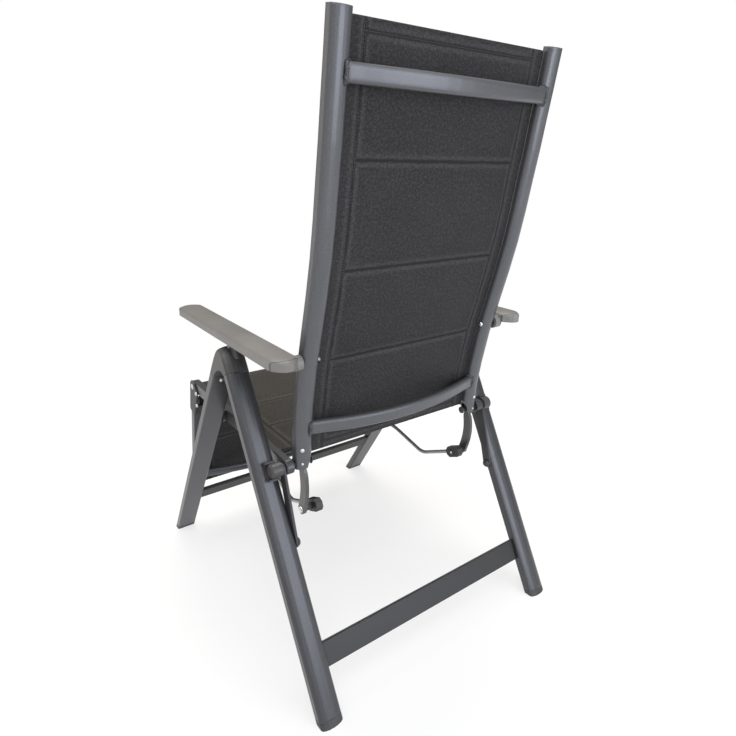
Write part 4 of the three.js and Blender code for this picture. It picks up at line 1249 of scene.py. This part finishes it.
@dataclass
class FootRest:
    """The footrest sling, its stitches and the bracket rivets."""

    top: float = 0.038
    past: float = 0.022
    rail_length: float = 0.301
    rail_depth: float = 0.020
    forward: float = 0.003
    pad: float = 0.009
    strip: float = 0.030
    seams: tuple[float, ...] = (0.140,)
    rivet: Point = (0.0048, 0.0024)
    rivet_spots: tuple[Point, ...] = ((-0.2383, 0.4145), (-0.2404, 0.3840))

    def build(self, looks: Palette) -> None:
        """Makes the footrest's pieces."""
        lean = math.radians(CHAIR.foot_lean)
        down = Vector((0, -math.sin(lean), -math.cos(lean)))
        rear = Vector((0, -down.z, down.y))
        pivot = Vector((0, *CHAIR.foot_pivot))
        length = self.rail_length - self.top + self.past - self.rail_depth / 2

        def line(along: float) -> tuple[Vector, Vector]:
            """Middle of the sling and its face direction."""
            return pivot + down * (self.top + along) + rear * (CHAIR.foot_set - self.forward), -rear

        sling = Sling(
            "foot_panel", "foot_sling", "footrest", CHAIR.rail_inner - CHAIR.sling_gap, self.strip,
            length, self.seams, line, self.pad,
        )
        finish_piece(sling.build(), "footrest", looks.cloth)
        finish_piece(Stitching(sling).build(), "footrest", looks.thread)
        for side in Side:
            face = side.value * CHAIR.bracket_face
            rivets = [Rivet(*self.rivet).make(Vector((face, y, z)), side.out) for y, z in self.rivet_spots]
            finish_piece(joined(rivets, f"bracket_rivets_{side.word}"), "footrest", looks.bright)


@dataclass
class LegFrame:
    """The rivets below the elbows, on the rear faces of the front legs."""

    rivet: Point = (0.005, 0.0022)
    below: float = 0.014
    outward: float = 0.003

    def build(self, looks: Palette) -> None:
        """Makes the leg frame's small pieces."""
        foot, along, front = CHAIR.front_leg()
        for side in Side:
            spot = foot + along * (CHAIR.front_tube - self.below)
            spot.x = side.value * (CHAIR.leg_middle + self.outward)
            rivet = joined([Rivet(*self.rivet).make(spot, -front)], f"front_leg_rivet_{side.word}")
            finish_piece(rivet, "front_frame", looks.bright)


# Stage.

COOL = (0.88, 0.93, 1.0)
WARM = (1.0, 0.94, 0.85)
BLUE = (0.82, 0.88, 1.0)


@dataclass(frozen=True)
class Lamp:
    """A soft lamp with its size in metres and its power in watts."""

    name: str
    place: Triple
    size: Point
    power: float
    tint: Triple
    aim: Triple = (0, 0, 0.45)

    def build(self) -> None:
        """Hangs the lamp."""
        light = bpy.data.lights.new(self.name, "AREA")
        light.shape = "RECTANGLE"
        light.size, light.size_y = self.size
        light.energy = self.power
        light.color = self.tint
        lamp = bpy.data.objects.new(self.name, light)
        bpy.context.collection.objects.link(lamp)
        lamp.rotation_mode = "QUATERNION"
        lamp.rotation_quaternion = (Vector(self.aim) - Vector(self.place)).to_track_quat("-Z", "Y")
        lamp.location = self.place


@dataclass
class Studio:
    """Floor, lamps, world and camera."""

    camera_place: Triple = (0.661, 0.9913, 0.904)
    azimuth: float = 143.573
    elevation: float = 19.006
    roll: float = 0.171
    focal_pixels: float = 567.34
    frame_pixels: float = 736.0
    bright_way: Triple = (0.35, 0.35, 0.87)
    room_low: float = 0.12
    room_high: float = 1.0
    room_tint: tuple[float, ...] = (1.0, 0.985, 0.96, 1)
    sensor: float = 36.0
    floor_size: float = 30
    lamps: tuple[Lamp, ...] = (
        Lamp("key_lamp", (1.2, 1.4, 3.0), (1.5, 1.5), 26, COOL),
        Lamp("top_lamp", (-0.6, -0.8, 3.4), (1.9, 1.9), 52, WARM),
        Lamp("side_lamp", (2.5, -2.2, 1.2), (1.3, 1.8), 14, WARM),
        Lamp("low_lamp", (-0.8, 2.95, 1.15), (1.9, 1.7), 46, BLUE, (0.1, 0.3, 0.8)),
    )

    def camera(self) -> None:
        """Sets the photograph's view."""
        a, e, r = (math.radians(x) for x in (self.azimuth, self.elevation, self.roll))
        back = Vector((math.sin(a) * math.cos(e), -math.cos(a) * math.cos(e), math.sin(e)))
        right = (-back).cross(Vector((0, 0, 1))).normalized()
        up = right.cross(-back)
        x = math.cos(r) * right + math.sin(r) * up
        y = -math.sin(r) * right + math.cos(r) * up
        lens = bpy.data.cameras.new("photo_camera")
        lens.sensor_fit = "HORIZONTAL"
        lens.sensor_width = self.sensor
        lens.lens = self.sensor * self.focal_pixels / self.frame_pixels
        camera = bpy.data.objects.new("photo_camera", lens)
        bpy.context.collection.objects.link(camera)
        matrix = Matrix((x, y, back)).transposed().to_4x4()
        matrix.translation = Vector(self.camera_place)
        camera.matrix_world = matrix
        bpy.context.scene.camera = camera

    def room(self) -> None:
        """Soft room: white where the camera sees it, else brightest overhead and towards the bright way."""
        world = bpy.data.worlds.new("soft_room")
        bpy.context.scene.world = world
        g = Graph(world, "ShaderNodeOutputWorld")
        seen = g.ray("Is Camera Ray").most(g.ray("Is Transmission Ray"))
        way = g.add("ShaderNodeTexCoord", {}, {}, "Generated")
        level = g.vector("DOT_PRODUCT", way, self.bright_way).step(-0.5, 0.95, self.room_low, self.room_high)
        room = g.add("ShaderNodeBackground", {}, {0: self.room_tint, 1: level})
        white = g.add("ShaderNodeBackground", {}, {0: (1, 1, 1, 1), 1: 1.0})
        g.show(g.add("ShaderNodeMixShader", {}, {0: seen, 1: room, 2: white}))

    def build(self) -> None:
        """Sets the stage."""
        calm()
        bpy.ops.mesh.primitive_plane_add(size=self.floor_size)
        floor = bpy.context.object
        floor.name = "floor"
        floor.data.materials.append(PaleFloor().make())
        self.room()
        for lamp in self.lamps:
            lamp.build()
        self.camera()
        bpy.context.scene.view_settings.view_transform = "Standard"


def main() -> None:
    """Builds the dressed chair."""
    logging.basicConfig(level=logging.INFO, format="%(message)s")
    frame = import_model()
    Studio().build()
    looks = Palette()
    looks.dress_nodes(frame["nodes"])
    LegFrame().build(looks)
    BackRest().build(looks)
    Seat().build(looks)
    FootRest().build(looks)
    calm()


if __name__ == "__main__":
    main()
